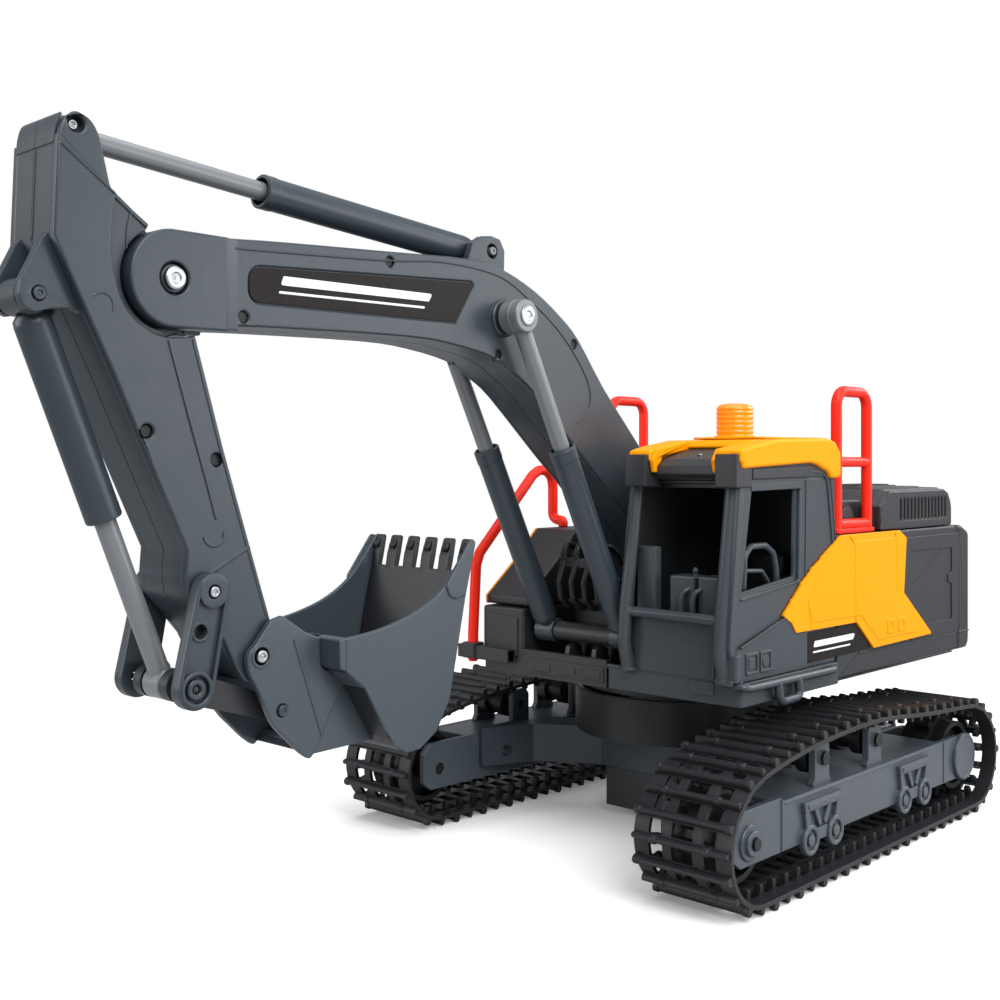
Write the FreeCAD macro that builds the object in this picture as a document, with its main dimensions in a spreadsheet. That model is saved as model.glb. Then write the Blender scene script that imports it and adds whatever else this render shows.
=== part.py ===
import FreeCAD, Part
import Sketcher
import math
import os
import re
from FreeCAD import Vector

# Toy tracked excavator, millimetres.
# Frame: +X forward (the way the boom points), +Y left (the cab side), +Z up.
# Origin: on the ground, under the middle of the overall length and width.
# Positions below are measured from the slew axis; every part is moved back by origin_shift.

doc = FreeCAD.newDocument("toy_excavator")
sheet = doc.addObject("Spreadsheet::Sheet", "dims")

# --- driving dimensions: one spreadsheet row and alias each -----------------
DIMS = {
    # belts: edges nearest and farthest from the middle, then section and cleats
    "track_inner": 80.0, "track_outer": 135.0, "belt_thick": 2.2, "belt_outer_r": 29.0,
    "cleat_rise": 4.0, "cleat_width": 3.4, "cleat_pitch": 11.5,
    # wheels, axles and upper rollers
    "wheel_x": 121.0, "wheel_z": 33.0, "wheel_rim_r": 22.5, "wheel_tip_r": 25.9,
    "axle_r": 3.0, "axle_bore_r": 3.06,
    "roller_r": 9.0, "roller_bolt_r": 2.0, "roller_bore_r": 2.06,
    # track frames: outer face, inner face, cheek thickness, beam heights
    "frame_face": 126.0, "frame_back": 84.0, "frame_plate": 4.0,
    "frame_low": 22.0, "frame_high": 46.5,
    # chassis, battery box and slew pedestal
    "chassis_low": 29.0, "chassis_high": 52.0,
    "pack_half_x": 33.8, "pack_half_y": 29.0, "pack_low": 5.5,
    "cell_r": 7.1, "cell_length": 50.0,
    "pedestal_r": 62.0, "pedestal_bore": 59.8, "pedestal_top": 78.0, "ring_top": 89.0,
    # house: distances from the slew axis, then shell and cab
    "deck_low": 90.7, "deck_high": 105.0,
    "house_left": 106.4, "house_right": 70.0, "house_rear": 176.7, "house_front": 100.7,
    "wall": 2.5, "body_top": 172.5, "cab_right": 36.0, "beacon_r": 10.0, "rail_r": 3.2,
    # boom, arm, bucket and links: half widths and walls
    "boom_half": 17.2, "boom_ear": 20.0, "boom_wall": 2.4,
    "arm_half": 17.7, "arm_neck": 9.8, "arm_wall": 2.4,
    "bucket_half": 35.0, "link_half": 24.5,
    # pins and screws
    "pin_r": 3.5, "pin_bore": 3.56, "pin_head_r": 4.4, "screw_r": 2.3,
    # cylinders
    "boom_barrel_r": 6.8, "boom_rod_r": 4.3, "boom_cyl_y": 27.0,
    "arm_barrel_r": 7.2, "arm_rod_r": 4.1,
    "bucket_barrel_r": 7.2, "bucket_rod_r": 4.3,
    "origin_shift": 123.9,
}
for row, (alias, value) in enumerate(DIMS.items(), 1):
    sheet.set(f"A{row}", alias)
    sheet.set(f"B{row}", repr(value))
    sheet.setAlias(f"B{row}", alias)
doc.recompute()

SIDES = (("left", 1), ("right", -1))    # name, sign of Y
RUNNING_GAP = 0.06                      # radial play of a turning shaft in its bore

# Pivots (x, z)
FOOT = (23.0, 152.0)          # boom foot
ELBOW = (364.8, 284.7)        # boom tip to arm
CYL_LOW = (88.4, 117.0)       # boom cylinders, lower
CYL_TOP = (174.5, 285.0)      # boom cylinders, upper
ARM_REAR = (177.7, 318.8)     # arm cylinder on the boom
ARM_TOP = (404.4, 338.0)      # arm cylinder on the arm
BUCKET_TOP = (416.7, 274.5)   # bucket cylinder on the arm
BUCKET_EYE = (357.6, 123.7)   # bucket cylinder on the links
ROCKER = (349.5, 161.5)       # rocker links on the arm
HINGE = (325.3, 133.0)        # bucket on the arm
LINK_PIN = (314.5, 109.1)     # push link on the bucket

# --- expressions: numbers, or sums of products of aliases and numbers --------
WORD = re.compile(r"[a-z][a-z_]+[a-z]")


def value_of(expression):
    """Number that a dimension expression stands for."""
    if isinstance(expression, (int, float)):
        return float(expression)
    plain = WORD.sub(lambda word: repr(DIMS[word.group(0)]), expression).replace(" ", "")
    total = 0.0
    for sign, term in re.findall(r"([+-]?)([^+\-]+)", plain):
        product = math.prod(float(factor) for factor in term.split("*"))
        total += -product if sign == "-" else product
    return total


def bound(expression):
    """The same expression, written against the sheet."""
    if isinstance(expression, (int, float)):
        return repr(float(expression))
    return WORD.sub(lambda word: "dims." + word.group(0), expression)


def negated(expression):
    """Minus an expression that has no leading sign."""
    if isinstance(expression, str):
        return "0 - " + expression.translate(str.maketrans("+-", "-+"))
    return -expression


# --- parts -------------------------------------------------------------------
PARTS = []


def keep(part, label):
    part.Label = label
    PARTS.append(part)


def move_back(part):
    part.Placement = FreeCAD.Placement(
        Vector(-DIMS["origin_shift"], 0, 0), FreeCAD.Rotation())
    part.setExpression("Placement.Base.x", "-1 * dims.origin_shift")


class Solid:
    """A PartDesign body grown from sketches on its own origin planes.

    A loop is a circle (x, y, radius) or a list of corners. With side -1, the spans
    of XZ features are mirrored to the right.
    """

    def __init__(self, label, side=1):
        self.body = doc.addObject("PartDesign::Body", "Body_" + label)
        self.side = side
        self.count = 0
        move_back(self.body)
        keep(self.body, label)

    def sketch(self, plane, loops, offset):
        self.count += 1
        outline = self.body.newObject(
            "Sketcher::SketchObject", f"{self.body.Label}_outline_{self.count}")
        face = [f for f in self.body.Origin.OriginFeatures if f.Role == plane + "_Plane"][0]
        outline.AttachmentSupport = [(face, "")]
        outline.MapMode = "FlatFace"
        outline.setExpression("AttachmentOffset.Base.z", offset)
        for loop in loops:
            if isinstance(loop, tuple):
                x, y, radius = loop
                circle = Part.Circle(
                    Vector(value_of(x), value_of(y), 0), Vector(0, 0, 1), value_of(radius))
                index = outline.addGeometry(circle, False)
                if isinstance(radius, str):
                    rule = outline.addConstraint(
                        Sketcher.Constraint("Radius", index, value_of(radius)))
                    outline.setExpression(f"Constraints[{rule}]", bound(radius))
            else:
                points = [Vector(value_of(x), value_of(y), 0) for x, y in loop]
                ends = points[1:] + points[:1]
                outline.addGeometry(
                    [Part.LineSegment(a, b) for a, b in zip(points, ends)], False)
        return outline

    def extrude(self, kind, plane, low, high, loops):
        if self.side < 0:
            low, high = negated(high), negated(low)
        # a pad follows the plane's normal and a pocket goes against it; XZ faces -Y
        from_low = (kind == "Pad") == (plane != "XZ")
        start = bound(low if from_low else high)
        if plane == "XZ":
            start = f"-({start})"
        outline = self.sketch(plane, loops, start)
        feature = self.body.newObject(
            "PartDesign::" + kind, f"{self.body.Label}_{kind.lower()}_{self.count}")
        feature.Profile = outline
        feature.Length = value_of(high) - value_of(low)
        feature.setExpression("Length", f"({bound(high)}) - ({bound(low)})")
        self.body.Tip = feature

    def pad(self, plane, low, high, *loops):
        self.extrude("Pad", plane, low, high, loops)

    def cut(self, plane, low, high, *loops):
        self.extrude("Pocket", plane, low, high, loops)


def shape_part(label, shape):
    part = doc.addObject("Part::Feature", "Shape_" + label)
    part.Shape = shape
    move_back(part)
    keep(part, label)


def compound_part(label, shapes):
    shape_part(label, Part.makeCompound(shapes))


# --- shape helpers -------------------------------------------------------------
def rectangle(x0, x1, y0, y1):
    return [(x0, y0), (x1, y0), (x1, y1), (x0, y1)]


def box(x0, x1, y0, y1, z0, z1):
    return Part.makeBox(x1 - x0, y1 - y0, z1 - z0, Vector(x0, y0, z0))


def rod(start, end, radius):
    start, end = Vector(*start), Vector(*end)
    return Part.makeCylinder(radius, (end - start).Length, start, end - start)


def cross_rod(point, y0, y1, radius):
    """Rod along Y through the point (x, z)."""
    x, z = point
    return rod((x, y0, z), (x, y1, z), radius)


def post(x, y, z0, z1, radius):
    return rod((x, y, z0), (x, y, z1), radius)


def prism(points, y0, y1):
    """Outline of (x, z) points, extruded along Y."""
    corners = [Vector(x, y0, z) for x, z in points]
    return Part.Face(Part.makePolygon(corners + corners[:1])).extrude(Vector(0, y1 - y0, 0))


def prism_z(points, z0, z1):
    """Outline of (x, y) points, extruded along Z."""
    corners = [Vector(x, y, z0) for x, y in points]
    return Part.Face(Part.makePolygon(corners + corners[:1])).extrude(Vector(0, 0, z1 - z0))


def fused(shapes):
    """Fuse shapes one after another, in order."""
    result = shapes[0]
    for shape in shapes[1:]:
        result = result.fuse(shape)
    return result


def pipe(points, radius):
    """Round bar along (x, y, z) points, with ball joints at the bends."""
    runs = [rod(a, b, radius) for a, b in zip(points, points[1:])]
    return fused(runs + [Part.makeSphere(radius, Vector(*p)) for p in points[1:-1]])


def flat_pipe(points, y, radius):
    """Pipe along (x, z) points at one y."""
    return pipe([(x, y, z) for x, z in points], radius)


def tooth_loop(x_mid, y_mid, root, tip, teeth, flank, crest, phase=0.0):
    """Gear outline; flank and crest are half widths as fractions of the pitch."""
    points = []
    for i in range(teeth):
        middle = phase + 2 * math.pi * i / teeth
        for part, radius in ((-flank, root), (-crest, tip), (crest, tip), (flank, root)):
            angle = middle + part * 2 * math.pi / teeth
            points.append((x_mid + radius * math.cos(angle), y_mid + radius * math.sin(angle)))
    return points


def headed_pin(point, half, head, radius=DIMS["pin_r"], head_r=DIMS["pin_head_r"]):
    """Cross pin with a round head at both ends."""
    return fused([cross_rod(point, -half, half, radius),
                  cross_rod(point, half, half + head, head_r),
                  cross_rod(point, -half - head, -half, head_r)])


def screw_pairs(points, reach):
    """Headless screw bodies in both shells, out to the given |y|."""
    inner = 12.05
    return [cross_rod(p, inner, reach, DIMS["screw_r"]) for p in points] + [
        cross_rod(p, -reach, -inner, DIMS["screw_r"]) for p in points]


# --- chassis ---------------------------------------------------------------------
FRAME_SCREW_X, FRAME_SCREW_Z = 73, 37      # screws into the track frames
# front left quarter of the plan (x, y)
quarter = [(33.8, 0), (33.8, 33), (57, 68), (88, 81.5), (88, 83.9), (58, 83.9), (34, 74),
           (14, 48), (0, 48)]
plan = quarter + [(-x, y) for x, y in reversed(quarter[:-1])]
plan += [(-x, -y) for x, y in quarter[1:]]
plan += [(x, -y) for x, y in reversed(quarter[1:-1])]


def frame_screw_circles(radius):
    return [(x, FRAME_SCREW_Z, radius) for x in (FRAME_SCREW_X, -FRAME_SCREW_X)]


chassis = Solid("chassis_frame")
chassis.pad("XY", "chassis_low", "chassis_high", plan)
chassis.pad("XY", "chassis_high", "pedestal_top", (0, 0, "pedestal_r"))
chassis.cut("XY", "chassis_low", "chassis_low + 14", rectangle(-30, 30, -26, 26))
chassis.cut("XY", 54, "pedestal_top", (0, 0, "pedestal_bore"))
for low, high in ((68, 81.0), (-81.0, -68)):
    chassis.cut("XZ", low, high, *frame_screw_circles(3.4))
for low, high in ((80.5, 84.5), (-84.5, -80.5)):
    chassis.cut("XZ", low, high, *frame_screw_circles(1.5))

# battery box hung under the middle
PACK_WALL, PACK_FLOOR = 2.6, 2.4
PACK_SCREW = (-6, 18)                      # x, y
PACK_ROOF = "chassis_low - 0.2"
pack_inside_top = f"pack_low + {PACK_FLOOR}"
cover = Solid("battery_cover")
cover.pad("XY", "pack_low", PACK_ROOF,
          rectangle("-1*pack_half_x", "pack_half_x", "-1*pack_half_y", "pack_half_y"))
cover.cut("XY", pack_inside_top, PACK_ROOF,
          rectangle(f"{PACK_WALL} - pack_half_x", f"pack_half_x - {PACK_WALL}",
                    f"{PACK_WALL} - pack_half_y", f"pack_half_y - {PACK_WALL}"))
cover.cut("XY", "pack_low", pack_inside_top, (*PACK_SCREW, 2.4))
cover.cut("XY", "pack_low", pack_inside_top, rectangle(8, 14, -22, -12))

# four cells side by side, lying along Y
CELL_PITCH, CELL_Z = 15.0, 16.5
cells = []
for i in range(4):
    x = (i - 1.5) * CELL_PITCH
    cell = doc.addObject("Part::Cylinder", f"cell_{i}")
    cell.setExpression("Radius", "dims.cell_r")
    cell.setExpression("Height", "dims.cell_length")
    cell.Placement = FreeCAD.Placement(
        Vector(x - DIMS["origin_shift"], -DIMS["cell_length"] / 2, CELL_Z),
        FreeCAD.Rotation(Vector(0, 0, 1), Vector(0, 1, 0)))
    cell.setExpression("Placement.Base.x", f"{x!r} - dims.origin_shift")
    cells.append(cell)
battery = doc.addObject("Part::Compound", "Compound_battery_cells")
battery.Links = cells
keep(battery, "battery_cells")

# screw in the battery cover, and one at each corner of the chassis
screws = [post(*PACK_SCREW, 5.7, 7.6, 2.3).fuse(post(*PACK_SCREW, 7.6, 8.4, 2.0))]
for end in (-1, 1):
    for side in (-1, 1):
        spot = (end * FRAME_SCREW_X, FRAME_SCREW_Z)
        head = cross_rod(spot, side * 78.9, side * 81.0, 3.2)
        screws.append(head.fuse(cross_rod(spot, side * 81.0, side * 87.6, 1.5)))
compound_part("chassis_screws", screws)

# --- track frames ------------------------------------------------------------------
ROLLER_X = (("front", 46.0), ("rear", -12.0))
ROLLER_Z = 60.0
# cheek that reaches past the wheels (x, z)
TRACK_CHEEK = [
    (-125, 20.5), (-91, 21), (91, 21.5), (128, 21.5), (134, 26), (134, 43), (129, 48.5),
    (91, 48.5), (91, 46.5), (-91, 46.5), (-110, 46.5), (-125, 45.5), (-134, 40), (-137, 33),
    (-134, 26)]
# raised panel on the outer face (x from its middle, z)
FACE_PANEL = [(-19, 40.5), (-19, 36.5), (-15, 32), (-17, 26), (17, 26), (15, 32), (19, 36.5),
              (19, 40.5)]
# post for an upper roller (x from the roller, z)
ROLLER_POST = [(-10, 46), (10, 46), (7.5, 50), (7.5, 66), (5, 69.3), (-5, 69.3), (-7.5, 66),
               (-7.5, 50)]


def moved_x(points, distance):
    return [(x + distance, z) for x, z in points]


for name, side in SIDES:
    frame = Solid(name + "_track_frame", side)
    # middle beam, then its outer and inner cheeks
    frame.pad("XZ", "frame_back", "frame_face",
              rectangle(-91, 91, "frame_low", "frame_high"))
    frame.pad("XZ", "frame_face - frame_plate", "frame_face", TRACK_CHEEK)
    frame.pad("XZ", "frame_back", "frame_back + frame_plate", TRACK_CHEEK)
    # round hub cover at the rear and axle boss at the front
    frame.pad("XZ", "frame_face", "frame_face + 3", ("-1*wheel_x", "wheel_z", 12.5))
    frame.pad("XZ", "frame_face", "frame_face + 4", ("wheel_x", "wheel_z", 6.2))
    # two groups of raised shapes on the outer face: a pair of discs and a panel each
    for middle in (49.5, -53.5):
        for distance in (-15.5, 15.5):
            frame.pad("XZ", "frame_face", "frame_face + 2.4", (middle + distance, 22.5, 7.6))
        frame.pad("XZ", "frame_face", "frame_face + 1.6", moved_x(FACE_PANEL, middle))
    for _, x in ROLLER_X:
        frame.pad("XZ", "frame_face - 7", "frame_face - 3", moved_x(ROLLER_POST, x))
        frame.pad("XZ", "frame_back + 4", "frame_back + 8", moved_x(ROLLER_POST, x))
        frame.cut("XZ", "frame_back + 2", "frame_face", (x, ROLLER_Z, "roller_bolt_r"))
    # idler axle bore, opening round the drive and screw holes
    frame.cut("XZ", "frame_back - 1", "frame_face + 5", ("wheel_x", "wheel_z", "axle_r"))
    frame.cut("XZ", "frame_back - 1", "frame_back + 5", ("-1*wheel_x", "wheel_z", 8.2))
    frame.cut("XZ", "frame_back - 1", "frame_back + 3.7", *frame_screw_circles(1.5))

# --- track belts ---------------------------------------------------------------------
WRAP_DEGREES, WRAP_STEPS = 137.0, 14       # belt round a wheel, up from its lowest point
# sagging top run, front to rear (x, z)
BELT_TOP = [
    (131.5, 62.2), (119.5, 66.6), (101, 70.0), (82, 72.5), (63, 74.2), (43, 75.4), (23, 76.0),
    (3, 75.7), (-17, 74.2), (-37, 72.2), (-57, 70.4), (-77, 69.0), (-100, 67.8),
    (-118, 66.3), (-131.0, 62.2)]


def belt_outer():
    """Corners of the belt's outer line, counter-clockwise seen from -Y."""
    wheel_x, wheel_z, radius = DIMS["wheel_x"], DIMS["wheel_z"], DIMS["belt_outer_r"]
    wrap = []
    for i in range(1, WRAP_STEPS + 1):
        angle = math.radians(-90 + WRAP_DEGREES * i / WRAP_STEPS)
        wrap.append((wheel_x + radius * math.cos(angle), wheel_z + radius * math.sin(angle)))
    bottom = [(-wheel_x, wheel_z - radius), (wheel_x, wheel_z - radius)]
    return bottom + wrap + BELT_TOP + [(-x, z) for x, z in reversed(wrap)]


def running_lengths(points):
    """Distance along the closed loop to each point, and back to the first."""
    lengths = [0.0]
    for (x0, z0), (x1, z1) in zip(points, points[1:] + points[:1]):
        lengths.append(lengths[-1] + math.hypot(x1 - x0, z1 - z0))
    return lengths


def resample(points, count):
    """Evenly spaced points along the closed loop."""
    lengths = running_lengths(points)
    spaced = []
    j = 0
    for i in range(count):
        target = lengths[-1] * i / count
        while lengths[j + 1] < target:
            j += 1
        part = (target - lengths[j]) / (lengths[j + 1] - lengths[j])
        (x0, z0), (x1, z1) = points[j], points[(j + 1) % len(points)]
        spaced.append((x0 + part * (x1 - x0), z0 + part * (z1 - z0)))
    return spaced


def tangent(points, i):
    """Unit direction of the closed loop at point i."""
    (x0, z0), (x1, z1) = points[i - 1], points[(i + 1) % len(points)]
    length = math.hypot(x1 - x0, z1 - z0)
    return (x1 - x0) / length, (z1 - z0) / length


def offset_inward(points, distance):
    moved = []
    for i, (x, z) in enumerate(points):
        along_x, along_z = tangent(points, i)
        moved.append((x - distance * along_z, z + distance * along_x))
    return moved


belt_corners = belt_outer()
cleat_count = int(round(running_lengths(belt_corners)[-1] / DIMS["cleat_pitch"] / 2)) * 2
belt_line = resample(belt_corners, cleat_count * 2)
belt_inner_line = offset_inward(belt_line, DIMS["belt_thick"])

CLEAT_SINK = 0.8                           # how far a cleat's foot reaches into the band
half_cleat = DIMS["cleat_width"] / 2
# cleat section (along the belt, outward), tapering to its top
CLEAT = [(-half_cleat, -CLEAT_SINK), (half_cleat, -CLEAT_SINK),
         (0.7 * half_cleat, DIMS["cleat_rise"]), (-0.7 * half_cleat, DIMS["cleat_rise"])]


def belt(label, y0, y1):
    band = prism(belt_line, y0, y1).cut(prism(belt_inner_line, y0 - 1, y1 + 1))
    cleats = []
    for i in range(0, len(belt_line), 2):
        x, z = belt_line[i]
        along_x, along_z = tangent(belt_line, i)
        section = [(x + run * along_x + rise * along_z, z + run * along_z - rise * along_x)
                   for run, rise in CLEAT]
        cleats.append(prism(section, y0, y1))
    shape_part(label, band.multiFuse(cleats))


belt("left_track_belt", DIMS["track_inner"], DIMS["track_outer"])
belt("right_track_belt", -DIMS["track_outer"], -DIMS["track_inner"])

# --- wheels in the belts ---------------------------------------------------------------
TRACK_MID = (DIMS["track_inner"] + DIMS["track_outer"]) / 2
WHEEL_TEETH, WHEEL_HALF = 14, 13
DRIVE_SHAFT_R = 3.4
IDLER = (DIMS["wheel_x"], DIMS["wheel_z"])          # x, z
SPROCKET = (-DIMS["wheel_x"], DIMS["wheel_z"])


def toothed_wheel(point, side):
    """Drum with a row of teeth, hollowed from both faces round a hub."""
    y = side * TRACK_MID
    rim = DIMS["wheel_rim_r"]
    teeth = tooth_loop(*point, rim, DIMS["wheel_tip_r"], WHEEL_TEETH, flank=0.30, crest=0.16)
    wheel = prism(teeth, y - 4.5, y + 4.5)
    wheel = wheel.fuse(cross_rod(point, y - WHEEL_HALF, y + WHEEL_HALF, rim - 2.0))
    for face in (-1, 1):
        wheel = wheel.cut(cross_rod(point, y + face * 7, y + face * 14, rim - 5.0))
    return wheel.fuse(cross_rod(point, y - WHEEL_HALF, y + WHEEL_HALF, 8.0))


for name, side in SIDES:
    y = side * TRACK_MID
    shaft = cross_rod(SPROCKET, y - side * WHEEL_HALF, side * 77.0, DRIVE_SHAFT_R)
    shape_part(name + "_sprocket", toothed_wheel(SPROCKET, side).fuse(shaft))
    bore = cross_rod(IDLER, y - 20, y + 20, DIMS["axle_bore_r"])
    shape_part(name + "_idler", toothed_wheel(IDLER, side).cut(bore))

# upper rollers, with a groove round the middle
for name, side in SIDES:
    for end, x in ROLLER_X:
        y = side * TRACK_MID
        spot = (x, ROLLER_Z)
        groove = cross_rod(spot, y - 4, y + 4, DIMS["roller_r"] + 1).cut(
            cross_rod(spot, y - 5, y + 5, DIMS["roller_r"] - 2.5))
        roller = cross_rod(spot, y - 10, y + 10, DIMS["roller_r"]).cut(groove)
        roller = roller.cut(cross_rod(spot, y - 30, y + 30, DIMS["roller_bore_r"]))
        shape_part(f"{name}_{end}_roller", roller)

# idler axles and headed bolts of the upper rollers
axles = []
for _, side in SIDES:
    axles.append(cross_rod(IDLER, side * 84.0, side * 131.2, DIMS["axle_r"]))
    for _, x in ROLLER_X:
        bolt = cross_rod((x, ROLLER_Z), side * 88.0, side * 123.0, DIMS["roller_bolt_r"])
        axles.append(bolt.fuse(cross_rod((x, ROLLER_Z), side * 123.0, side * 125.6, 3.6)))
compound_part("track_axles", axles)

# gear motors of the two drives, inward of the track frames
motors = []
for _, side in SIDES:
    motor = fused([box(-134, -96, *sorted((side * 58.0, side * 76.0)), 22, 44),
                   cross_rod((-112, 33), side * 59, side * 40, 9.5),
                   cross_rod(SPROCKET, side * 74, side * 83.9, 7.8)])
    motors.append(motor.cut(
        cross_rod(SPROCKET, side * 73, side * 90, DRIVE_SHAFT_R + RUNNING_GAP)))
compound_part("drive_motors", motors)

# --- slew bearing and its drive ----------------------------------------------------------
# ring gear fixed to the chassis; the pinion of the house rolls round its teeth
RING_TEETH, PINION_TEETH, MODULE = 48, 12, 1.6
RING_NECK_R, PINION_SHAFT_R = 34.5, 2.5
ring_pitch_r = MODULE * RING_TEETH / 2
pinion_pitch_r = MODULE * PINION_TEETH / 2
pinion_x = -(ring_pitch_r + pinion_pitch_r + 0.15)


def gear(x, pitch_r, teeth, phase, z0, z1):
    slim = 0.82                            # tooth width left after backlash
    loop = tooth_loop(x, 0, pitch_r - 1.15 * MODULE, pitch_r + 0.72 * MODULE, teeth,
                      0.30 * slim, 0.12 * slim, phase)
    return prism_z(loop, z0, z1)


ring = fused([gear(0, ring_pitch_r, RING_TEETH, 0.0, 56.0, 66.0),
              post(0, 0, 54, 56, 36.4),
              post(0, 0, 66, DIMS["ring_top"], RING_NECK_R)])
shape_part("slew_ring_gear", ring.cut(post(0, 0, 53, 90, 27.0)))

pinion = gear(pinion_x, pinion_pitch_r, PINION_TEETH, math.pi / PINION_TEETH, 57.0, 65.5)
shape_part("slew_pinion", pinion.fuse(post(pinion_x, 0, 65.5, 108, PINION_SHAFT_R)))

# --- house deck ----------------------------------------------------------------------------
DECK_TOP = "deck_low + 5.3"
DECK_HUB_LOW = 78.8
DECK_NOSE = "house_front - 0.5"
# side view of a boom foot cheek, and of a gusset under the lower cylinder tube (x, z)
FOOT_CHEEK = [(2, 96), (46, 96), (40, 118), (31, 158), (25, 163), (17, 162), (12, 155),
              (6, 118)]
GUSSET = [(80, 96), (96, 96), (93, 109.5), (88.4, 111.5), (83, 109.5)]

deck = Solid("deck_plate")
deck.pad("XY", "deck_low", DECK_TOP,
         [(-156, -67), (DECK_NOSE, -67), (DECK_NOSE, 23.7), (1, 23.7), (1, 103.5),
          (-156, 103.5)])
deck.pad("XY", DECK_TOP, "deck_high + 0.7", rectangle(96, DECK_NOSE, -67, 23.7))
deck.pad("XY", DECK_HUB_LOW, "deck_low", (0, 0, 58.0))
deck.cut("XY", DECK_HUB_LOW, "deck_low", (0, 0, RING_NECK_R + RUNNING_GAP))
deck.cut("XY", DECK_HUB_LOW, DECK_TOP, (pinion_x, 0, 2.6))
deck.pad("XZ", 18.0, 21.6, FOOT_CHEEK)
deck.pad("XZ", -21.6, -18.0, FOOT_CHEEK)
deck.cut("XZ", -21.6, 21.6, (*FOOT, "pin_r"))
deck.pad("XZ", 8.0, 11.0, GUSSET)
deck.pad("XZ", -11.0, -8.0, GUSSET)
# step at the right front corner
deck.pad("XY", 97.5, 105.0, rectangle(100.2, 106.2, -84, -44))

# boom foot pin, and the lower cylinder pin in its tube
compound_part("house_pins", [
    cross_rod(FOOT, -23.6, 23.6, DIMS["pin_r"]),
    cross_rod(CYL_LOW, -19.8, 19.8, 5.4).fuse(
        cross_rod(CYL_LOW, -34.2, 34.2, DIMS["pin_r"]))])

# --- rear body -------------------------------------------------------------------------------
wall, body_left, body_right = DIMS["wall"], DIMS["house_left"], -DIMS["house_right"]
body_top = DIMS["body_top"]
BODY_REAR, BODY_FRONT = -158.6, -0.5
WING_INNER = -37.0                         # inner face of the right front wing and box
inside_top = body_top - wall

outside = box(BODY_REAR, BODY_FRONT, body_right, body_left, 92.0, body_top)
wing = prism([(-0.5, 129), (96, 129), (96, 134.5), (69.7, 155.3), (52, body_top),
              (-0.5, body_top)], body_right, WING_INNER)
hollow = fused([
    box(BODY_REAR + wall, BODY_FRONT - wall, body_right + wall, body_left - wall, 91.0,
        inside_top),
    box(-4, 1, -67.2, 103.7, 91, 96.2),
    prism([(-4.0, 131.5), (93.5, 131.5), (93.5, 133.4), (68.8, 152.9), (51, inside_top),
           (-4.0, inside_top)], body_right + wall, WING_INNER - wall)])
shape_part("rear_body_shell", outside.fuse(wing).cut(hollow))

counterweight = Solid("counterweight")
counterweight.pad("XZ", "-1*house_right", "house_left", [
    (-158.8, 91.7), (-173.5, 91.7), ("-1*house_rear", 95), ("-1*house_rear", 166.7),
    (-164, 172.3), (-158.8, 172.3)])

# hood in two steps on the body, hollow at the rear, slotted on its left side
ON_BODY = body_top + 0.2
hood = Solid("engine_hood")
hood.pad("XZ", -62, 106, [(-52, ON_BODY), (-52, 197), (-139, 197), (-146, 194.5),
                          (-150, 188.5), (-151, ON_BODY)])
hood.pad("XZ", -50, 95, [(-1, ON_BODY), (-1, 193.5), (-4, 197), (-52, 197), (-52, ON_BODY)])
hood.cut("XY", ON_BODY, 187, rectangle(-148, -54.5, -59.5, 103.5))
SLOT_COUNT, SLOT_FRONT, SLOT_PITCH, SLOT_WIDTH = 14, -79.5, 4.75, 1.9
slot_fronts = [SLOT_FRONT - SLOT_PITCH * i for i in range(SLOT_COUNT)]
hood.cut("XZ", 104.8, 106, *[rectangle(x - SLOT_WIDTH, x, 178, 191) for x in slot_fronts])

left_panel = Solid("left_side_panel")
left_panel.pad("XZ", 106.5, 108.6, [
    (59.4, 133.2), (-2.7, 172.4), (-72.9, 172.4), (-82.1, 167.7), (-78.6, 135),
    (-117.1, 106.7), (-40.2, 105.9), (-20, 122.5), (46.4, 123), (54, 130.2)])
right_panel = Solid("right_side_panel")
right_panel.pad("XZ", -72.2, -70.1, [
    (95, 134.2), (69.2, 154.8), (51, 172), (-72.9, 172), (-82.1, 167.7), (-78.6, 135),
    (-117.1, 106.7), (-40.2, 105.9), (-20, 129.2), (95, 129.2)])

front_box = Solid("right_front_box")
front_box.pad("XZ", "-1*house_right", WING_INNER, [
    (1, 96.2), (95.8, 96.2), (95.8, 106), (100, 106), (100, 128.7), (1, 128.7)])
front_box.cut("XZ", -67, WING_INNER - 3, [
    (4, 96.2), (93, 96.2), (93, 106), (97, 109), (97, 126), (4, 126)])

# --- cab ---------------------------------------------------------------------------------------
SIDE_WINDOW = [(90, 199), (43.5, 199), (44.4, 151), (95, 147)]     # x, z
cab = Solid("cab_shell")
cab.pad("XY", 90.7, 103, rectangle(1.5, "house_front", 24, 109))
cab.pad("XZ", "cab_right", 106.3, [
    (1.5, 103), ("house_front", 103), (101.5, 108), (109.5, 119), (103, 203.8), (1.5, 203.8)])
cab.cut("XZ", "cab_right + 3", 103.5, [
    (4.5, 105.5), (97, 105.5), (104.5, 119), (98.5, 201.5), (4.5, 201.5)])
# side windows and windscreen
cab.cut("XZ", 101, 107, SIDE_WINDOW)
cab.cut("XZ", "cab_right - 1", "cab_right + 5", SIDE_WINDOW)
cab.cut("YZ", 94, 112, rectangle(45.5, 96.5, 138, 199))

# roof, notched at the front, with the beacon and its base on top
BEACON = (47, 70.6)                        # x, y
roof = prism([(98, 204.1), (98.5, 208), (98, 216.5), (90, 220.5), (13, 226.3), (4, 223),
              (-1, 216.7), (-1, 204.1)], 38.5, 109.5)
roof = roof.cut(box(84, 100, 52.5, 95.5, 204, 219))
shape_part("cab_roof", roof.fuse(post(*BEACON, 220, 225.4, 11.5)))

lens_cap = Part.makeCone(DIMS["beacon_r"], 6.0, 4.5, Vector(*BEACON, 240), Vector(0, 0, 1))
shape_part("beacon_lens", post(*BEACON, 225.5, 240, DIMS["beacon_r"]).fuse(lens_cap))

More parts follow.
